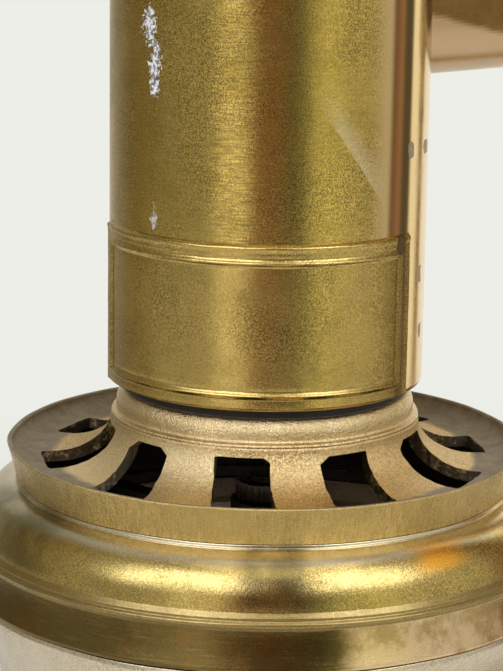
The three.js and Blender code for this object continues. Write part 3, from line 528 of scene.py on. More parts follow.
def torus_marks(n, place, turn, z, colour, roughness):
    """The plain band is dark on its left, stain and a painted dark reflection, and peach on its right, a
    painted bright reflection. The shoulder has warm and dark patches and a painted orange reflection, and its
    ridge is painted dark, a painted shade.
    """
    angle = from_front(n, turn)
    height = n.times(z, PER_MM)
    drift = n.times(n.minus(n.noise(place, 110, 6, 0.6), 0.5), 26)
    edge = n.plus(angle, drift)
    # the band's left is painted dark: stain and a painted dark reflection
    left = n.fall(edge, 12, 21)
    band = n.fall(height, -22.5, -22.2)
    stain_and_dark_reflection = n.times(n.times(left, band), 0.86)
    colour = n.mix(stain_and_dark_reflection, colour, (0.125, 0.085, 0.024))
    blots = n.times(n.step(n.noise(place, 200, 6, 0.65), 0.52, 0.60), n.times(band, 0.5))
    colour = n.mix(blots, colour, (0.25, 0.14, 0.04))
    lines = n.step(n.drawn(turn, 7, height, 5, 4, 0.65, 0.4), 0.52, 0.70)
    colour = n.tint(colour, n.times(lines, band), 0.45, (0.42, 0.31, 0.12))
    # the band's right is painted peach, a painted bright reflection
    right = n.times(n.minus(1, left), band)
    peach_reflection = n.mix(n.step(n.noise(place, 160, 5, 0.7), 0.42, 0.60), (0.92, 0.68, 0.42), (0.52, 0.36, 0.16))
    colour = n.tint(colour, right, 0.75, peach_reflection)
    # the ridge is painted dark, a painted shade that dims the highlight it catches
    dimmed_ridge = n.times(n.step(height, -22.5, -22.3), n.fall(height, -20.4, -20.2))
    colour = n.tint(colour, dimmed_ridge, 0.6, (0.24, 0.17, 0.07))
    roughness = n.rougher(roughness, dimmed_ridge, 0.12)
    throat = n.step(height, -15.6, -14.6)
    colour = n.tint(colour, throat, 0.75, (0.84, 0.76, 0.55))
    shoulder = n.times(n.step(height, -20.5, -19.5), n.fall(height, -13.6, -13.4))
    # a painted orange reflection of the collar on the shoulder's right
    glow = n.times(near(n, angle, 36.5, 8.5, 0.2), near(n, height, -15.7, 2, 0.2))
    colour = n.tint(colour, glow, 0.95, (1, 0.47, 0.05))
    for middle, half, tone, strength in SHOULDER_PATCHES:
        cloudy = n.step(n.noise(place, 150, 5, 0.6), 0.35, 0.60, 0.35, 1)
        mask = n.times(near(n, angle, middle, half), cloudy)
        mask = n.times(mask, n.times(shoulder, strength))
        colour = n.mix(mask, colour, tone)
    return colour, roughness


tube_brass = brass("tube_brass", (0.66, 0.47, 0.13), (0.42, 0.30, 0.065), rough=0.15, patina=0.6,
                   brushed=0.5, speckle=0.55, marks=tube_marks, grain=0.8)
plate_brass = brass("plate_brass", (0.66, 0.47, 0.14), (0.41, 0.29, 0.075), rough=0.19, patina=0.6,
                    brushed=0.35, speckle=0.6, grain=0.8, marks=plate_marks)
collar_brass = brass("collar_brass", (0.92, 0.66, 0.29), (0.74, 0.52, 0.21), rough=0.34, patina=0.6,
                     brushed=0.15, speckle=0.8, sand=1.6, coat=0.04, grime_and_shade=0.7, grain=0.9,
                     marks=collar_marks, inside=1)
torus_brass = brass("torus_brass", (0.70, 0.51, 0.16), (0.42, 0.31, 0.085), rough=0.16, patina=0.65,
                    brushed=0.45, speckle=0.8, grain=0.7, marks=torus_marks, inside=1)
bowl_brass = brass("bowl_brass", (0.82, 0.70, 0.50), (0.66, 0.56, 0.40), rough=0.22, patina=0.5,
                   brushed=0.4, speckle=0.4, inside=0.3, inner_tone=(0.34, 0.22, 0.13))
arm_brass = brass("arm_brass", (0.30, 0.17, 0.05), (0.19, 0.105, 0.03), rough=0.16, patina=0.55,
                  brushed=0.3, speckle=0.5, marks=arm_painted_light)
plain_brass = brass("plain_brass", (0.68, 0.48, 0.15), (0.40, 0.29, 0.08), rough=0.20, patina=0.55,
                    brushed=0.45, speckle=0.5)


def top_shade(n, place, turn, z, colour, roughness):
    """The flat top is painted black: old oil and a painted shade."""
    upwards = n.step(facing_up(n), 0.4, 0.8)
    return n.mix(upwards, colour, (0.004, 0.003, 0.002)), n.rougher(roughness, upwards, 0.4)


nut_brass = brass("nut_brass", (0.42, 0.33, 0.22), (0.16, 0.11, 0.07), rough=0.36, patina=0.7, brushed=0.3,
                  speckle=0.6, coat=0, grime_and_shade=0.9, marks=top_shade)
dark_brass = brass("dark_brass", (0.20, 0.13, 0.06), (0.06, 0.04, 0.02), rough=0.42, patina=0.8,
                   brushed=0.3, speckle=0.6, coat=0, grime_and_shade=0.9, marks=top_shade)


def iron():
    n = Nodes("cast_iron")
    grain = n.noise(n.place(), 900, 5, 0.7)
    colour = n.mix(n.step(grain, 0.4, 0.7), (0.05, 0.046, 0.042), (0.16, 0.09, 0.05))
    normal = n.bump(grain, 0.6, 0.4 * MM)
    return n.metal(in_Base_Color=colour, in_Normal=normal, in_Metallic=0.5, in_Roughness=0.75)


def tinplate():
    n = Nodes("tinplate")
    place, _, _, _, lines = polar(n, 4, 1800)
    spangle = n.noise(place, 160, 4, 0.6)
    brush = n.noise(lines, 1, 3)
    colour = n.mix(n.step(spangle, 0.4, 0.7), (0.56, 0.55, 0.52), (0.30, 0.28, 0.24))
    return n.metal(in_Base_Color=colour, in_Roughness=n.step(brush, 0.2, 0.8, 0.3, 0.5), in_Metallic=1)


def cotton():
    n = Nodes("cotton")
    _, _, _, z, lines = polar(n, 60, 1500)
    weave = n.noise(lines, 1, 2)
    char = n.step(z, 0.0925, 0.0965)
    colour = n.mix(n.step(weave, 0.35, 0.7), (0.76, 0.70, 0.56), (0.56, 0.49, 0.35))
    colour = n.mix(char, colour, (0.05, 0.04, 0.03))
    return n.metal(in_Base_Color=colour, in_Normal=n.bump(weave, 0.7, 0.3 * MM), in_Roughness=0.95)


def glass(name, ground):
    n = Nodes(name)
    smears = n.noise(n.place(), 60, 5, 0.6)
    if ground:
        dent = n.bump(n.noise(n.place(), 1800, 3, 0.5), 0.25, 0.15 * MM)
        rough, cast, through = n.step(smears, 0.3, 0.7, 0.42, 0.6), (0.78, 0.77, 0.74), 0.75
        tone = n.mix(n.step(smears, 0.3, 0.7), (0.93, 0.92, 0.88), (0.86, 0.85, 0.80))
    else:
        dent = n.bump(n.noise(n.place(), 22, 3, 0.5), 0.10, 0.4 * MM)
        rough, cast, through = n.step(smears, 0.45, 0.8, 0, 0.10), (0.93, 0.94, 0.93), 1
        tone = (0.97, 0.985, 0.975)
    solid = n.node("ShaderNodeBsdfPrincipled", in_Normal=dent, in_IOR=1.46, in_Roughness=rough,
                   in_Base_Color=tone, in_Transmission_Weight=through)
    clear = n.node("ShaderNodeBsdfTransparent", in_Color=cast)
    rays = n.node("ShaderNodeLightPath").outputs
    unseen = n.most(rays["Is Shadow Ray"], rays["Is Diffuse Ray"])
    both = n.node("ShaderNodeMixShader", in_0=unseen, in_1=solid.outputs["BSDF"], in_2=clear.outputs["BSDF"])
    return n.output(both.outputs["Shader"])


iron_look = iron()
tin_look = tinplate()
cotton_look = cotton()
clear_glass = glass("clear_glass", False)
ground_glass = glass("ground_glass", True)


def extent(node, centre):
    """A CAD node's reach across, its foot and its top, in millimetres from a centre."""
    low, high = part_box(node)
    return [round(v * PER_MM, 1) for v in (high[1], low[2] - centre.z, high[2] - centre.z)]


def tube_profile(bore, reach, low, high):
    return [(bore, low), (reach, low), (reach, high), (bore, high), (bore, low)]


def piece(name, node, profile, facets=128, edge=0.2, wobble=0, look=plain_brass, centre=COLUMN,
          body="lamp"):
    """A turned piece that stands for one CAD node."""
    stands_for(turned(name, profile, centre, look, facets, edge, wobble), body, node)


def ring_points(count, radius_at, z):
    points = []
    for j in range(count):
        turn = ROUND * j / count
        r = radius_at(turn) * MM
        points.append((r * math.cos(turn), r * math.sin(turn), z * MM))
    return points


def skin(name, rings, look, sharp):
    """A closed surface over rings of points, the last ring joined to the first."""
    count = len(rings[0])
    verts = [point for ring in rings for point in ring]
    faces = []
    for i in range(len(rings)):
        low, high = i * count, (i + 1) % len(rings) * count
        for j in range(count):
            k = (j + 1) % count
            faces.append((low + j, low + k, high + k, high + j))
    return surface(name, verts, faces, BURNER, look, sharp)


def cut(thing, cutters):
    """Cuts away what each maker builds, given as (name, maker)."""
    tools = [add(name, mesh_from(name, maker)) for name, maker in cutters]
    for tool in tools:
        change = thing.modifiers.new("cut", "BOOLEAN")
        change.operation = "DIFFERENCE"
        change.solver = "EXACT"
        change.object = tool
    graph = bpy.context.evaluated_depsgraph_get()
    made = bpy.data.meshes.new_from_object(thing.evaluated_get(graph))
    thing.modifiers.clear()
    old = thing.data
    thing.data = made
    made.name = old.name + "_cut"
    for tool in tools:
        bpy.data.objects.remove(tool)


# Sizes that several pieces share, in millimetres. Heights on the burner are measured from its tube's foot
SHEET = 1
SEAT_GAP = 0.3
BODY_RADIUS = 21
BODY_BORE = BODY_RADIUS - SHEET
BORE_FIT = BODY_BORE - SEAT_GAP
BODY_HEIGHT = 92
ARM_HEIGHT = 48
ARM_HOLE = 9.3


def arm_hole(bm):
    made = bmesh.ops.create_cone(bm, cap_ends=True, segments=64, radius1=ARM_HOLE * MM, radius2=ARM_HOLE * MM,
                                 depth=10 * MM)
    bmesh.ops.rotate(bm, verts=made["verts"], cent=(0, 0, 0), matrix=Matrix.Rotation(math.pi / 2, 3, "Y"))
    bmesh.ops.translate(bm, verts=made["verts"], vec=BURNER + Vector((BODY_BORE * MM, 0, ARM_HEIGHT * MM)))
    bmesh.ops.recalc_face_normals(bm, faces=bm.faces)


def burner_tube():
    profile = (
        [(BODY_BORE, 0)]
        + quarter((BODY_BORE, 0), (BODY_RADIUS, SHEET), False, 8)
        + [(BODY_RADIUS, BODY_HEIGHT), (BODY_BORE, BODY_HEIGHT), (BODY_BORE, 0)]
    )
    tube = turned("body_tube", profile, BURNER, tube_brass, 256, 0.15, 0.12)
    cut(tube, [("arm_hole", arm_hole)])
    stands_for(tube, "lamp", "burner_body_tube")


# Name plate: a thin curved sheet with a raised line, soldered on. Angles are in degrees
PLATE_MIDDLE, PLATE_HALF_ANGLE = 219.8, 68.8
PLATE_LOW, PLATE_HIGH = 0.5, 21.7
PLATE_BACK = BODY_RADIUS + 0.02
PLATE_ARC = math.radians(2 * PLATE_HALF_ANGLE) * PLATE_BACK
PLATE_THICKNESS = 0.42
LINE_INSET, LINE_MIDDLE, LINE_HALF_HEIGHT, LINE_RISE = 2.55, 10.8, 8.5, 0.26


def bell(value, middle, width):
    return math.exp(-((value - middle) / width) ** 2)


def plate_rise(s, z):
    """How far the plate's face stands off its back, at a way along its arc and a height."""
    ragged = 0.10 * noise.noise(Vector((s * 0.35, z * 0.35, 3.1)))
    top_gap = PLATE_HIGH - z + ragged
    side_gap = min(s, PLATE_ARC - s) + ragged
    gap = min(top_gap, side_gap, z - PLATE_LOW + 0.25)
    t = max(0, min(1, gap / 0.40))
    rise = PLATE_THICKNESS * (t * t * (3 - 2 * t))
    rise += 0.10 * bell(top_gap, 0.55, 0.35) + 0.08 * bell(side_gap, 0.55, 0.35)
    # raised line: distance to a rounded rectangle set in from the edges
    dx = abs(s - PLATE_ARC * 0.5) - (PLATE_ARC * 0.5 - LINE_INSET)
    dz = abs(z - LINE_MIDDLE) - LINE_HALF_HEIGHT
    away = math.hypot(dx, dz) if dx > 0 and dz > 0 else abs(max(dx, dz))
    away += 0.05 * noise.noise(Vector((s * 0.6, z * 0.6, 9)))
    rise += LINE_RISE * bell(away, 0, 0.24) - 0.05 * bell(away, 0.6, 0.25)
    return rise + 0.03 * noise.noise(Vector((s * 0.22, z * 0.22, 1)))


def name_plate():
    cols, rows = 420, 170
    wide = cols + 1

    def point(i, j, off=None):
        s, z = PLATE_ARC * j / cols, PLATE_LOW + (PLATE_HIGH - PLATE_LOW) * i / rows
        r = (PLATE_BACK + (plate_rise(s, z) if off is None else off)) * MM
        turn = math.radians(PLATE_MIDDLE - PLATE_HALF_ANGLE) + s / PLATE_BACK
        return r * math.cos(turn), r * math.sin(turn), z * MM

    verts = [point(i, j) for i in range(rows + 1) for j in range(wide)]
    faces = []
    for i in range(rows):
        for j in range(cols):
            a = i * wide + j
            faces.append((a, a + 1, a + 1 + wide, a + wide))
    # the edges run back to the tube
    rim = [(0, j) for j in range(cols)] + [(i, cols) for i in range(rows)]
    rim += [(rows, j) for j in range(cols, 0, -1)] + [(i, 0) for i in range(rows, 0, -1)]
    start = len(verts)
    verts += [point(i, j, -0.01) for i, j in rim]
    for k, (i, j) in enumerate(rim):
        after = (k + 1) % len(rim)
        a, b = i * wide + j, rim[after][0] * wide + rim[after][1]
        faces.append((b, a, start + k, start + after))
    stands_for(surface("plate_sheet", verts, faces, BURNER, plate_brass, 60), "lamp", "name_plate")


# Air collar: neck, bead, pierced trumpet, dish and rim. Each window was filed by hand: its middle at the
# throat and at the dish, in degrees from the front, and how far its left and right top corners are cut off
COLLAR_BORE, COLLAR_TOP, COLLAR_SHOULDER = 18.2, 5, 1.9
NECK_SEAT, NECK_TOP, NECK_FOOT = 18.8, -1.2, -4.9
DISH_REACH, DISH_TOP, DISH_UNDER = 28.5, -10.6, -12.1
RIM_REACH, RIM_TOP, RIM_FOOT = 34.7, -8.5, -13.4
WINDOW_STEP, WINDOW_MIDDLE, WINDOW_CUT = 36, -7.2, 0.6
FILED = {
    0: (-7.7, -5, 0.2, 0.8), 1: (29.4, 27.8, 1.3, 0.2), 2: (66.5, 64.6, 1.3, 0.3),
    9: (-46.2, -40.8, 1.6, 1.2), 8: (-80, -78.4, 0.4, 0.5),
}
WINDOW_TOP, WINDOW_FOOT = -5.9, -17
WINDOW_HALF_WIDTHS = ((14, 3.4), (19, 3.5), (22, 3.65), (25, 3.9), (28, 4.25), (29.6, 4.5))
WINDOW_END = [(30, y) for y in (-3.9, -1.3, 1.3, 3.9)]
WINDOW_CENTRE, WINDOW_INSET = 22, 0.96


def window_cutter(k):
    regular = WINDOW_MIDDLE + WINDOW_STEP * k
    at_throat, at_dish, left_cut, right_cut = FILED.get(k, (regular, regular, WINDOW_CUT, WINDOW_CUT))

    def rough(amount):
        return (rng.random() - 0.5) * 2 * amount

    def point(r, y, z):
        share = min(1, max(0, (r - 20.8) / 7.2))
        angle = math.radians(FRONT_ANGLE + at_throat + (at_dish - at_throat) * share)
        cx, cy = r * math.cos(angle) - y * math.sin(angle), r * math.sin(angle) + y * math.cos(angle)
        return BURNER.x + cx * MM, BURNER.y + cy * MM, BURNER.z + z * MM

    def half_width(r):
        return 3.4 + max(0, r - 14) * 0.03

    def corner_drop(r, y):
        left = max(0, -y - (half_width(r) - left_cut))
        right = max(0, y - (half_width(r) - right_cut))
        return 0.75 * max(left, right)

    def make(bm):
        corners = [(r, -y) for r, y in WINDOW_HALF_WIDTHS] + WINDOW_END + list(WINDOW_HALF_WIDTHS[::-1])
        dense = []
        for i, p in enumerate(corners):
            q = corners[(i + 1) % len(corners)]
            parts = max(1, int(math.dist(p, q) / 0.6))
            for step in range(parts):
                t = step / parts
                dense.append((p[0] + (q[0] - p[0]) * t + rough(0.09), p[1] + (q[1] - p[1]) * t + rough(0.09)))
        # the roof is flat up to the cut corners and slopes only there
        tops, bottoms, roof = [], [], []
        for r, y in dense:
            kept = 1 - (right_cut if y > 0 else left_cut) / half_width(r)
            inner = WINDOW_CENTRE + (r - WINDOW_CENTRE) * WINDOW_INSET
            tops.append(bm.verts.new(point(r, y, WINDOW_TOP - corner_drop(r, y) + rough(0.05))))
            bottoms.append(bm.verts.new(point(r, y, WINDOW_FOOT)))
            roof.append(bm.verts.new(point(inner, y * kept * WINDOW_INSET, WINDOW_TOP)))
        for i in range(len(dense)):
            j = (i + 1) % len(dense)
            bm.faces.new((bottoms[i], bottoms[j], tops[j], tops[i]))
            bm.faces.new((tops[i], tops[j], roof[j], roof[i]))
        bm.faces.new(roof)
        bm.faces.new(bottoms[::-1])
        bmesh.ops.recalc_face_normals(bm, faces=bm.faces)
    return make


def air_collar():
    profile = (
        [(COLLAR_BORE, COLLAR_TOP), (COLLAR_BORE, NECK_FOOT)]
        + quarter((19.6, -6.4), (DISH_REACH, DISH_UNDER), True)
        + [(32, DISH_UNDER), (32, RIM_FOOT), (33.5, RIM_FOOT), (33.6, -12.6), (34, -11), (34.4, -9.6),
           (RIM_REACH, RIM_TOP - 0.15), (RIM_REACH - 0.15, RIM_TOP), (RIM_REACH - 0.55, RIM_TOP)]
        + quarter((30.6, DISH_TOP), (34, RIM_TOP - 0.2), False, 8)[::-1]
        + quarter((20.75, NECK_FOOT), (DISH_REACH, DISH_TOP), True, 20)[::-1]
        + [(20.65, -4.75), (20.72, -4.5), (20.6, -4.3), (20.1, -4.15), (19.98, -3.9), (20, -3.2)]
        + quarter((NECK_SEAT, NECK_TOP), (20, -3.2), False, 8)[::-1][1:]
        + [(NECK_SEAT, COLLAR_SHOULDER), (BORE_FIT, COLLAR_SHOULDER), (BORE_FIT, COLLAR_TOP),
           (COLLAR_BORE, COLLAR_TOP)]
    )
    collar = turned("pierced_collar", profile, BURNER, collar_brass, 300, 0.14, 0.18)
    cut(collar, [("window_%d" % k, window_cutter(k)) for k in range(10)])
    edges = collar.modifiers.new("worn_edges", "BEVEL")
    edges.width = 0.16 * MM
    edges.segments = 2
    edges.limit_method = "ANGLE"
    edges.angle_limit = math.radians(42)
    edges.use_clamp_overlap = True
    stands_for(collar, "lamp", "air_collar")


def torus_moulding():
    bore, top, seat, foot = 30.5, -13.45, -14.9, -27.6
    profile = (
        [(bore, top), (bore, seat)]
        + quarter((33.5, seat), (37.2, -20.9), False)
        + [(37.2, -22.6), (35.6, -22.6), (35.6, -24.2), (38.7, -24.2), (38.7, foot), (40.2, foot),
           (40.3, -27.2), (39.9, -26), (39.5, -24), (39.35, -22.4), (39.7, -21.9), (39.7, -21.55),
           (39.3, -21.25), (39.35, -20.95), (39.1, -20.6)]
        + quarter((33.5, -13.9), (38.9, -20.3), False)[::-1]
        + [(33.5, top), (bore, top)]
    )
    piece("torus_moulding", "torus_ring", profile, 256, 0.16, 0.15, look=torus_brass, centre=BURNER)


def drip_bowl():
    foot, belly = (8, -60), (36.2, -37)
    lip, lip_top, joint = 38.4, -24.9, -27.9
    outside = (
        [(2.3, foot[1]), foot]
        + quarter(belly, foot, True)[::-1][1:]
        + [(38.4, -32.4), (39.5, -29.4), (39.7, -28.6), (39.6, -27.95)]
    )
    inside = shell(outside[:-1], SHEET)[len(outside):-1]
    profile = (
        outside
        + [(lip, joint), (lip, lip_top), (lip - SHEET, lip_top), (lip - SHEET, joint)]
        + inside
        + [outside[0]]
    )
    piece("drip_bowl_spun", "drip_bowl", profile, 256, 0.15, 0.2, look=bowl_brass, centre=BURNER, body="bowl")


def bowl_finial():
    reach, foot, top = extent("bowl_finial", BURNER)
    waist, neck, thread = (5, foot + 5), (4, -66.5), 2.3
    profile = (
        [(0, foot)]
        + quarter((0, foot), waist, False)[1:]
        + quarter(waist, neck, True, 6)[1:]
        + [(reach, top - 1.5), (reach, top), (thread, top), (thread, -66.3), (0, -66.3)]
    )
    piece("finial_nut", "bowl_finial", profile, 96, 0.3, centre=BURNER, body="bowl")


def bowl_stem():
    reach, foot, top = extent("bowl_stem", BURNER)
    profile = [(0, foot), (reach, foot), (reach, top), (0, top)]
    piece("stem_rod", "bowl_stem", profile, 48, 0.3, look=dark_brass, centre=BURNER)


def fluted_nut():
    flutes, points, bore = 24, 24 * 8, 2.3
    low, high = -17.1, -14.4
    shares = ((low, 0.86), (-17, 0.95), (-16.75, 1), (-14.8, 1), (-14.5, 0.96), (high, 0.86))

    def flank(turn):
        return 3.5 + 0.38 * (0.5 + 0.5 * math.cos(turn * flutes))

    rings = [ring_points(points, lambda turn: flank(turn) * share, z) for z, share in shares]
    rings += [ring_points(points, lambda turn: bore, z) for z in (high, low)]
    stands_for(skin("fluted_nut", rings, nut_brass, 50), "lamp", "knurled_nut")


def draft_tube():
    reach, foot, top = extent("draft_tube", BURNER)
    profile = tube_profile(reach - 1.5, reach, foot, top)
    piece("inner_tube", "draft_tube", profile, look=dark_brass, centre=BURNER)
    ring_reach, ring_foot, ring_top = extent("body_floor_ring", BURNER)
    profile = tube_profile(reach + SEAT_GAP, ring_reach, ring_foot, ring_top)
    piece("floor_ring", "body_floor_ring", profile, look=dark_brass, centre=BURNER)


def top_cap():
    reach, lip, top = extent("body_top_cap", BURNER)
    bore = extent("raiser_tube", BURNER)[0] + SEAT_GAP
    profile = [
        (bore, BODY_HEIGHT), (BORE_FIT - SHEET, BODY_HEIGHT), (BORE_FIT - SHEET, lip), (BORE_FIT, lip),
        (BORE_FIT, BODY_HEIGHT), (reach, BODY_HEIGHT), (reach, top), (bore, top), (bore, BODY_HEIGHT),
    ]
    piece("top_cap", "body_top_cap", profile, 160, 0.3, centre=BURNER)


def wick():
    rows, points, ribs = 90, 240, 60
    foot, top, fray_rows = 52.2, 96.9, 4
    outside, inside = 12.45, 10.95

    def outer(turn):
        rib = 0.10 * math.cos(turn * ribs + (math.pi if i % 2 else 0))
        return outside + rib + (0.10 * (rng.random() - 0.5) if i > rows - fray_rows else 0)

    def inner(turn):
        return inside + 0.06 * math.cos(turn * ribs)

    rings = []
    for i in range(rows + 1):
        rings.append(ring_points(points, outer, foot + (top - foot) * i / rows))
    for i in range(rows, -1, -6):
        rings.append(ring_points(points, inner, foot + (top - foot) * i / rows))
    stands_for(skin("woven_wick", rings, cotton_look, 80), "wick_set", "wick")


def chimney():
    reach, foot, top = extent("glass_chimney", BURNER)
    waist, neck, tip = (22.55, 132.8), (19, 137.3), 18
    outside = (
        [(reach, foot), (reach, foot + 25)]
        + quarter((reach, foot + 25), waist, True, 10)[1:]
        + quarter(waist, neck, False, 10)[1:]
        + [(tip, top)]
    )
    piece("chimney_blown", "glass_chimney", shell(outside, 1.6), 160, 0.6, 0.2, look=clear_glass,
          centre=BURNER, body="chimney")


def shade():
    reach, foot, top = extent("glass_shade", BURNER)
    fitter, mouth, widest = 52.3, 36, 119.7
    outside = (
        [(fitter, foot), (fitter, foot + 8)]
        + quarter((fitter, foot + 8), (reach, widest), False, 20)[1:]
        + quarter((reach, widest), (mouth, top), True, 24)[1:]
    )
    piece("shade_blown", "glass_shade", shell(outside, 2), 192, 0.8, 0.1, look=ground_glass,
          centre=BURNER, body="shade")


def side_arm():
    """The pipe and its union nut, measured along X from the column."""
    height = BURNER.z + ARM_HEIGHT * MM
    arm = turned("arm_pipe", tube_profile(8, 9, -122.5, -8.3), (0, 0, 0), arm_brass, 128, 0.2)
    stands_for(along_x(arm, 0, height), "lamp", "arm_tube")
    back, front, reach = -27.3, -18.3, 12.5
    profile = [
        (ARM_HOLE, back), (11.4, back), (reach, back + 1.5), (reach, -23.4), (11.7, -22.8), (reach, -22.2),
        (reach, front - 1.3), (11.6, front), (ARM_HOLE, front), (ARM_HOLE, back),
    ]
    union = turned("arm_union", profile, (0, 0, 0), plain_brass, 96, 0.3)
    stands_for(along_x(union, 0, height), "lamp", "arm_union_nut")


def urn():
    inlet = 5
    reach, foot, top = extent("urn_foot", COLUMN)
    profile = (
        [(inlet, foot), (reach, foot), (reach, foot + 1.5)]
        + quarter((reach - 1.5, foot + 1.5), (11, top - 1.5), False)
        + [(14, top - 1.5), (14, top), (inlet, top), (inlet, foot)]
    )
    piece("urn_stem", "urn_foot", profile, 128, 0.4)
    reach, foot, top = extent("urn_floor_ring", COLUMN)
    piece("urn_floor", "urn_floor_ring", tube_profile(inlet, reach, foot, top))
    belly, belly_height = 45, 340
    lower = shell(quarter((14, 276), (belly, belly_height), False, 30), SHEET)
    piece("urn_lower_spun", "urn_lower_shell", lower, 192, 0.2, 0.15)
    upper = shell(quarter((belly, belly_height + SEAT_GAP), (41, 370), True, 16), SHEET)
    piece("urn_upper_spun", "urn_upper_shell", upper, 192, 0.2, 0.15)
    reach, foot, top = extent("urn_rim_ring", COLUMN)
    piece("urn_rim", "urn_rim_ring", tube_profile(reach - 4, reach, foot, top), 192, 1.4)


def cover():
    reach, skirt, top = extent("urn_cover", COLUMN)
    seat, plug, knob_seat = 374.6, 38.7, 9
    profile = (
        [(plug, seat), (plug, skirt), (plug + SHEET, skirt), (plug + SHEET, seat)]
        + [(reach, seat), (reach, seat + 1.5)]
        + quarter((reach - 1.5, seat + 1.5), (knob_seat, top), True, 20)
        + [(3, top), (3, top - SHEET)]
        + quarter((reach - 3, seat + 1.5), (knob_seat, top - SHEET), True, 20)[::-1]
        + [(plug, seat)]
    )
    piece("cover_spun", "urn_cover", profile, 192, 0.3, body="bottle")
    reach, foot, tip = extent("cover_finial", COLUMN)
    waist, widest = (3.6, top + 6.3), (reach, top + 12.3)
    profile = (
        [(0, foot), (2.7, foot), (2.7, foot + 1.8), (reach, foot + 1.8), (reach, foot + 3.3), waist]
        + quarter(waist, widest, False, 10)[1:]
        + quarter(widest, (0, tip), True, 14)[1:]
    )
    piece("cover_knob", "cover_finial", profile, 96, 0.3, body="bottle")


def oil_bottle():
    reach, foot, top = extent("oil_bottle", COLUMN)
    neck, belly, lid = 8, 33, top - 1.5
    outside = (
        [(neck, foot), (neck, foot + 10)]
        + quarter((neck, foot + 10), (belly, foot + 26), False)[1:]
        + [(belly, lid)]
    )
    inside = shell(outside, 0.8)[len(outside):-1]
    profile = outside + [(reach, lid), (reach, top), (0, top), (0, lid)] + inside + [outside[0]]
    piece("bottle_soldered", "oil_bottle", profile, 96, 0, look=tin_look, body="bottle")


ROD_HOLE = 3.3


def column():
    reach, foot, top = extent("arm_block", COLUMN)
    groove, low, high = reach - 0.6, foot + 3, top - 3
    profile = [
        (0, foot), (reach, foot), (reach, low - 0.8), (groove, low), (groove, high), (reach, high + 0.8),
        (reach, top), (0, top),
    ]
    piece("arm_boss", "arm_block", profile, 128, 0.4)
    reach, foot, top = extent("column_capital", COLUMN)
    profile = (
        [(ROD_HOLE, foot), (13, foot), (13, foot + 3), (10, foot + 4.5)]
        + quarter((10, foot + 4.5), (reach, top - 1.5), True)[1:]
        + [(reach, top), (ROD_HOLE, top), (ROD_HOLE, foot)]
    )
    piece("capital_turned", "column_capital", profile, 128, 0.4)
    reach, foot, top = extent("column_shaft", COLUMN)
    profile = [(7, foot), (reach, foot), (reach - 1.5, top), (7, top), (7, foot)]
    piece("shaft_tube", "column_shaft", profile)
    waist = reach
    reach, foot, top = extent("column_ring", COLUMN)
    middle = (foot + top) / 2
    profile = (
        [(ROD_HOLE, foot), (waist, foot)]
        + quarter((waist, foot), (reach, middle), False)[1:]
        + quarter((reach, middle), (waist, top), True)[1:]
        + [(ROD_HOLE, top), (ROD_HOLE, foot)]
    )
    piece("shaft_ring", "column_ring", profile)


def square_plate(name, edge, node):
    half, low, high = extent(node, COLUMN)

    def block(bm):
        bmesh.ops.create_cube(bm, size=1)
        bmesh.ops.scale(bm, verts=bm.verts, vec=(2 * half * MM, 2 * half * MM, (high - low) * MM))
        bmesh.ops.translate(bm, verts=bm.verts, vec=(0, 0, (low + high) / 2 * MM))
        bmesh.ops.bevel(bm, geom=bm.edges, offset=edge * MM, segments=5, affect="EDGES", profile=0.5)

    stands_for(finish_mesh(name, mesh_from(name, block), COLUMN, plain_brass, 40), "lamp", node)


def base():
    reach, foot, top = extent("base_dome", COLUMN)
    flat, inner, knee = 16, 42.5, foot + 3
    profile = (
        [(reach, foot), (reach, foot + 1.5)]
        + quarter((reach - 1.5, knee), (flat, top), True, 24)
        + [(ROD_HOLE, top), (ROD_HOLE, top - 2)]
        + quarter((inner, knee), (flat, top - 2), True, 24)[::-1]
        + [(inner, foot), (reach, foot)]
    )
    piece("dome_spun", "base_dome", profile, 160, 0.3)
    square_plate("slab_cast", 1.2, "base_slab")
    square_plate("step_cast", 2.6, "base_step")


def dress_cad():
    """CAD pieces that stay as they are get their looks."""
    looks = {
        plain_brass: ("chimney_gallery", "shade_ring", "shade_clamp_screw"),
        dark_brass: ("raiser_tube", "wick_carrier", "bowl_bridge"),
        iron_look: ("base_weight", "tie_rod", "tie_rod_nut"),
        tin_look: ("valve_seat_ring", "valve_rod"),
    }
    for look, nodes in looks.items():
        for node in nodes:
            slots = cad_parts[node].data.materials
            slots.clear()
            slots.append(look)


for make_piece in (burner_tube, name_plate, air_collar, torus_moulding, drip_bowl, bowl_finial, bowl_stem,
                   fluted_nut, draft_tube, top_cap, wick, chimney, shade, side_arm, urn, cover, oil_bottle,
                   column, base, dress_cad):
    make_piece()


# Camera: metres and degrees, measured from the burner's foot
DISTANCE, RISE = 0.315, 0.0753
PITCH, YAW, ROLL = math.radians(12.5), math.radians(0.358), math.radians(-0.8)
SENSOR, LENS, NEAREST = 36, 128.8, 0.01
UP = Vector((0, 0, 1))


def add_camera():
    data = bpy.data.cameras.new("camera")
    data.sensor_width = SENSOR
    data.lens = LENS
    data.clip_start = NEAREST
    heading = math.radians(FRONT_ANGLE - 180)
    forward = Vector((math.cos(heading), math.sin(heading), 0))
    thing = add("camera", data, BURNER - forward * DISTANCE + UP * RISE)
    flat = Matrix.Rotation(YAW, 3, "Z") @ forward
    ahead = (flat * math.cos(PITCH) - UP * math.sin(PITCH)).normalized()
    right = ahead.cross(UP).normalized()
    up = right.cross(ahead)
    roll = Matrix.Rotation(ROLL, 3, ahead)
    thing.rotation_mode = "QUATERNION"
    thing.rotation_quaternion = Matrix((roll @ right, roll @ up, -ahead)).transposed().to_quaternion()
    bpy.context.scene.camera = thing


add_camera()

# Light and ground
WHITE = rgb(0.84, 0.855, 0.80)
AIM_HEIGHT = 0.02


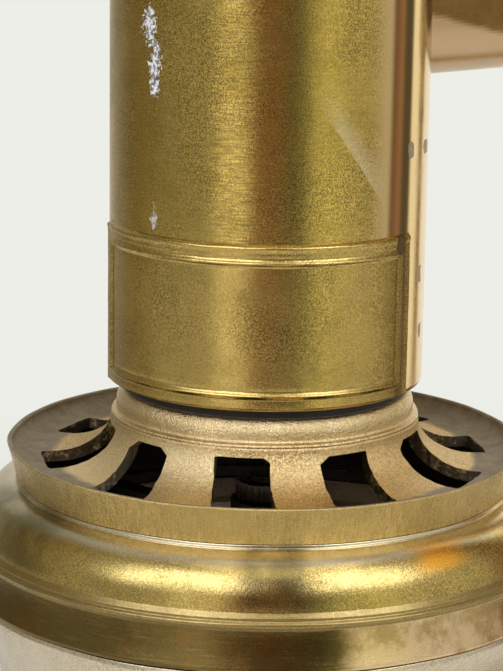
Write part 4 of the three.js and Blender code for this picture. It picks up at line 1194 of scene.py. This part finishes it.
def area_light(name, angle, distance, height, width, tall, power, colour=(1, 1, 1)):
    """A soft box at an angle from the front of the burner, positive to the camera's right."""
    data = bpy.data.lights.new(name, "AREA")
    data.shape = "RECTANGLE"
    data.size, data.size_y = width, tall
    data.energy = power
    data.color = colour
    turn = math.radians(FRONT_ANGLE + angle)
    thing = add(name, data, BURNER + Vector((math.cos(turn) * distance, math.sin(turn) * distance, height)))
    aim = BURNER + UP * AIM_HEIGHT - thing.location
    thing.rotation_mode = "QUATERNION"
    thing.rotation_quaternion = aim.to_track_quat("-Z", "Y")
    thing.visible_camera = False
    return thing


area_light("box_top", 20, 0.25, 0.85, 0.7, 0.7, 1.8)

# A round white tent stands about the burner. Its cloth is lit unevenly: each row is an angle from the front,
# the cloth's brightness there and its tint
TENT_RADIUS, TENT_HEIGHT = 0.7, 1.1
PLAIN, WARM, GREEN = (1, 0.97, 0.9), (1, 0.86, 0.62), (0.92, 1, 0.78)
RED, YELLOW = (1, 0.62, 0.44), (1, 1, 0.72)
TENT = (
    (-180, 0.9, PLAIN), (-162, 0.55, PLAIN), (-140, 0.36, PLAIN), (-122, 0.28, PLAIN), (-117, 0.26, WARM),
    (-95, 0.30, WARM), (-84, 0.37, PLAIN), (-60, 0.42, PLAIN), (-52, 0.42, PLAIN), (-39, 0.42, PLAIN),
    (-34, 0.95, PLAIN), (-16, 1, PLAIN), (-12, 0.26, RED), (11, 0.24, RED), (16, 0.14, GREEN),
    (26, 0.14, GREEN), (31, 0.80, YELLOW), (48, 0.72, YELLOW), (60, 0.62, PLAIN), (94, 0.58, PLAIN),
    (99, 0.20, RED), (107, 0.36, RED), (112, 0.12, WARM), (119, 0.12, WARM), (122, 1.1, PLAIN),
    (150, 1.05, PLAIN), (172, 0.95, PLAIN), (180, 0.9, PLAIN),
)


def tent_cloth():
    n = Nodes("tent_cloth")
    x, y, z = n.parts(n.place())
    angle = n.times(n.math("ARCTAN2", y, x), 180 / math.pi)
    ramp = n.node("ShaderNodeValToRGB", in_0=n.step(angle, -180, 180, kind="LINEAR"))
    stops = ramp.color_ramp.elements
    while len(stops) < len(TENT):
        stops.new(0.5)
    for stop, (turn, light, tint) in zip(stops, TENT):
        stop.position = (turn + 180) / 360
    for stop, (turn, light, tint) in zip(stops, TENT):
        stop.color = rgb(*(light * c for c in tint))
    left_key = n.fall(n.apart(angle, -33), 20, 34)
    right_key = n.fall(n.apart(angle, 44), 14, 28)
    keys = n.times(n.most(left_key, right_key), n.step(z, 0.15, 0.30))
    glow = n.node("ShaderNodeEmission", in_Color=n.mix(keys, ramp.outputs["Color"], (3, 3.15, 3.9)))
    return n.output(glow.outputs["Emission"])


def tent_walls(bm):
    bmesh.ops.create_cone(bm, cap_ends=False, segments=128, radius1=TENT_RADIUS, radius2=TENT_RADIUS,
                          depth=TENT_HEIGHT)
    bmesh.ops.translate(bm, verts=bm.verts, vec=(0, 0, TENT_HEIGHT / 2 - BURNER.z))
    bmesh.ops.reverse_faces(bm, faces=bm.faces)


def tent():
    thing = add("tent", mesh_from("tent", tent_walls), BURNER)
    thing.rotation_euler = (0, 0, math.radians(FRONT_ANGLE))
    thing.data.materials.append(tent_cloth())
    thing.visible_camera = False
    thing.visible_transmission = False
    thing.visible_shadow = False


tent()


def ground():
    n = Nodes("pale_ground")
    place = n.place()
    grain = n.noise(place, 40, 3)
    tone = n.mix(grain, (0.80, 0.81, 0.78), (0.84, 0.85, 0.82))
    diffuse = n.node("ShaderNodeBsdfDiffuse", in_Color=tone)
    glow = n.node("ShaderNodeEmission", in_Color=WHITE)
    rays = n.node("ShaderNodeLightPath").outputs
    seen = n.most(rays["Is Camera Ray"], rays["Is Transmission Ray"])
    x, y, z = n.parts(place)
    far = n.step(n.math("SQRT", n.plus(n.times(x, x), n.times(y, y))), 0.25, 0.75)
    both = n.node("ShaderNodeMixShader", in_0=n.times(seen, far), in_1=diffuse.outputs["BSDF"],
                  in_2=glow.outputs["Emission"])
    return n.output(both.outputs["Shader"])


def floor_disc():
    mesh = mesh_from("floor", lambda bm: bmesh.ops.create_circle(bm, cap_ends=True, radius=8, segments=96))
    floor = add("floor", mesh, (0, 0, -0.2 * MM))
    mesh.materials.append(ground())


floor_disc()


def studio_sky():
    """The camera sees the pale backdrop, and everything else sees a dimmer, warmer sky."""
    world = bpy.data.worlds.new("studio")
    bpy.context.scene.world = world
    world.use_nodes = True
    tree = world.node_tree
    tree.nodes.clear()
    seen = tree.nodes.new("ShaderNodeBackground")
    seen.inputs["Color"].default_value = WHITE
    lit = tree.nodes.new("ShaderNodeBackground")
    lit.inputs["Color"].default_value = rgb(0.80, 0.76, 0.70)
    lit.inputs["Strength"].default_value = 0.55
    rays = tree.nodes.new("ShaderNodeLightPath")
    choice = tree.nodes.new("ShaderNodeMixShader")
    tree.links.new(rays.outputs["Is Camera Ray"], choice.inputs[0])
    tree.links.new(lit.outputs[0], choice.inputs[1])
    tree.links.new(seen.outputs[0], choice.inputs[2])
    tree.links.new(choice.outputs[0], tree.nodes.new("ShaderNodeOutputWorld").inputs["Surface"])


studio_sky()
bpy.context.scene.view_settings.view_transform = "Standard"
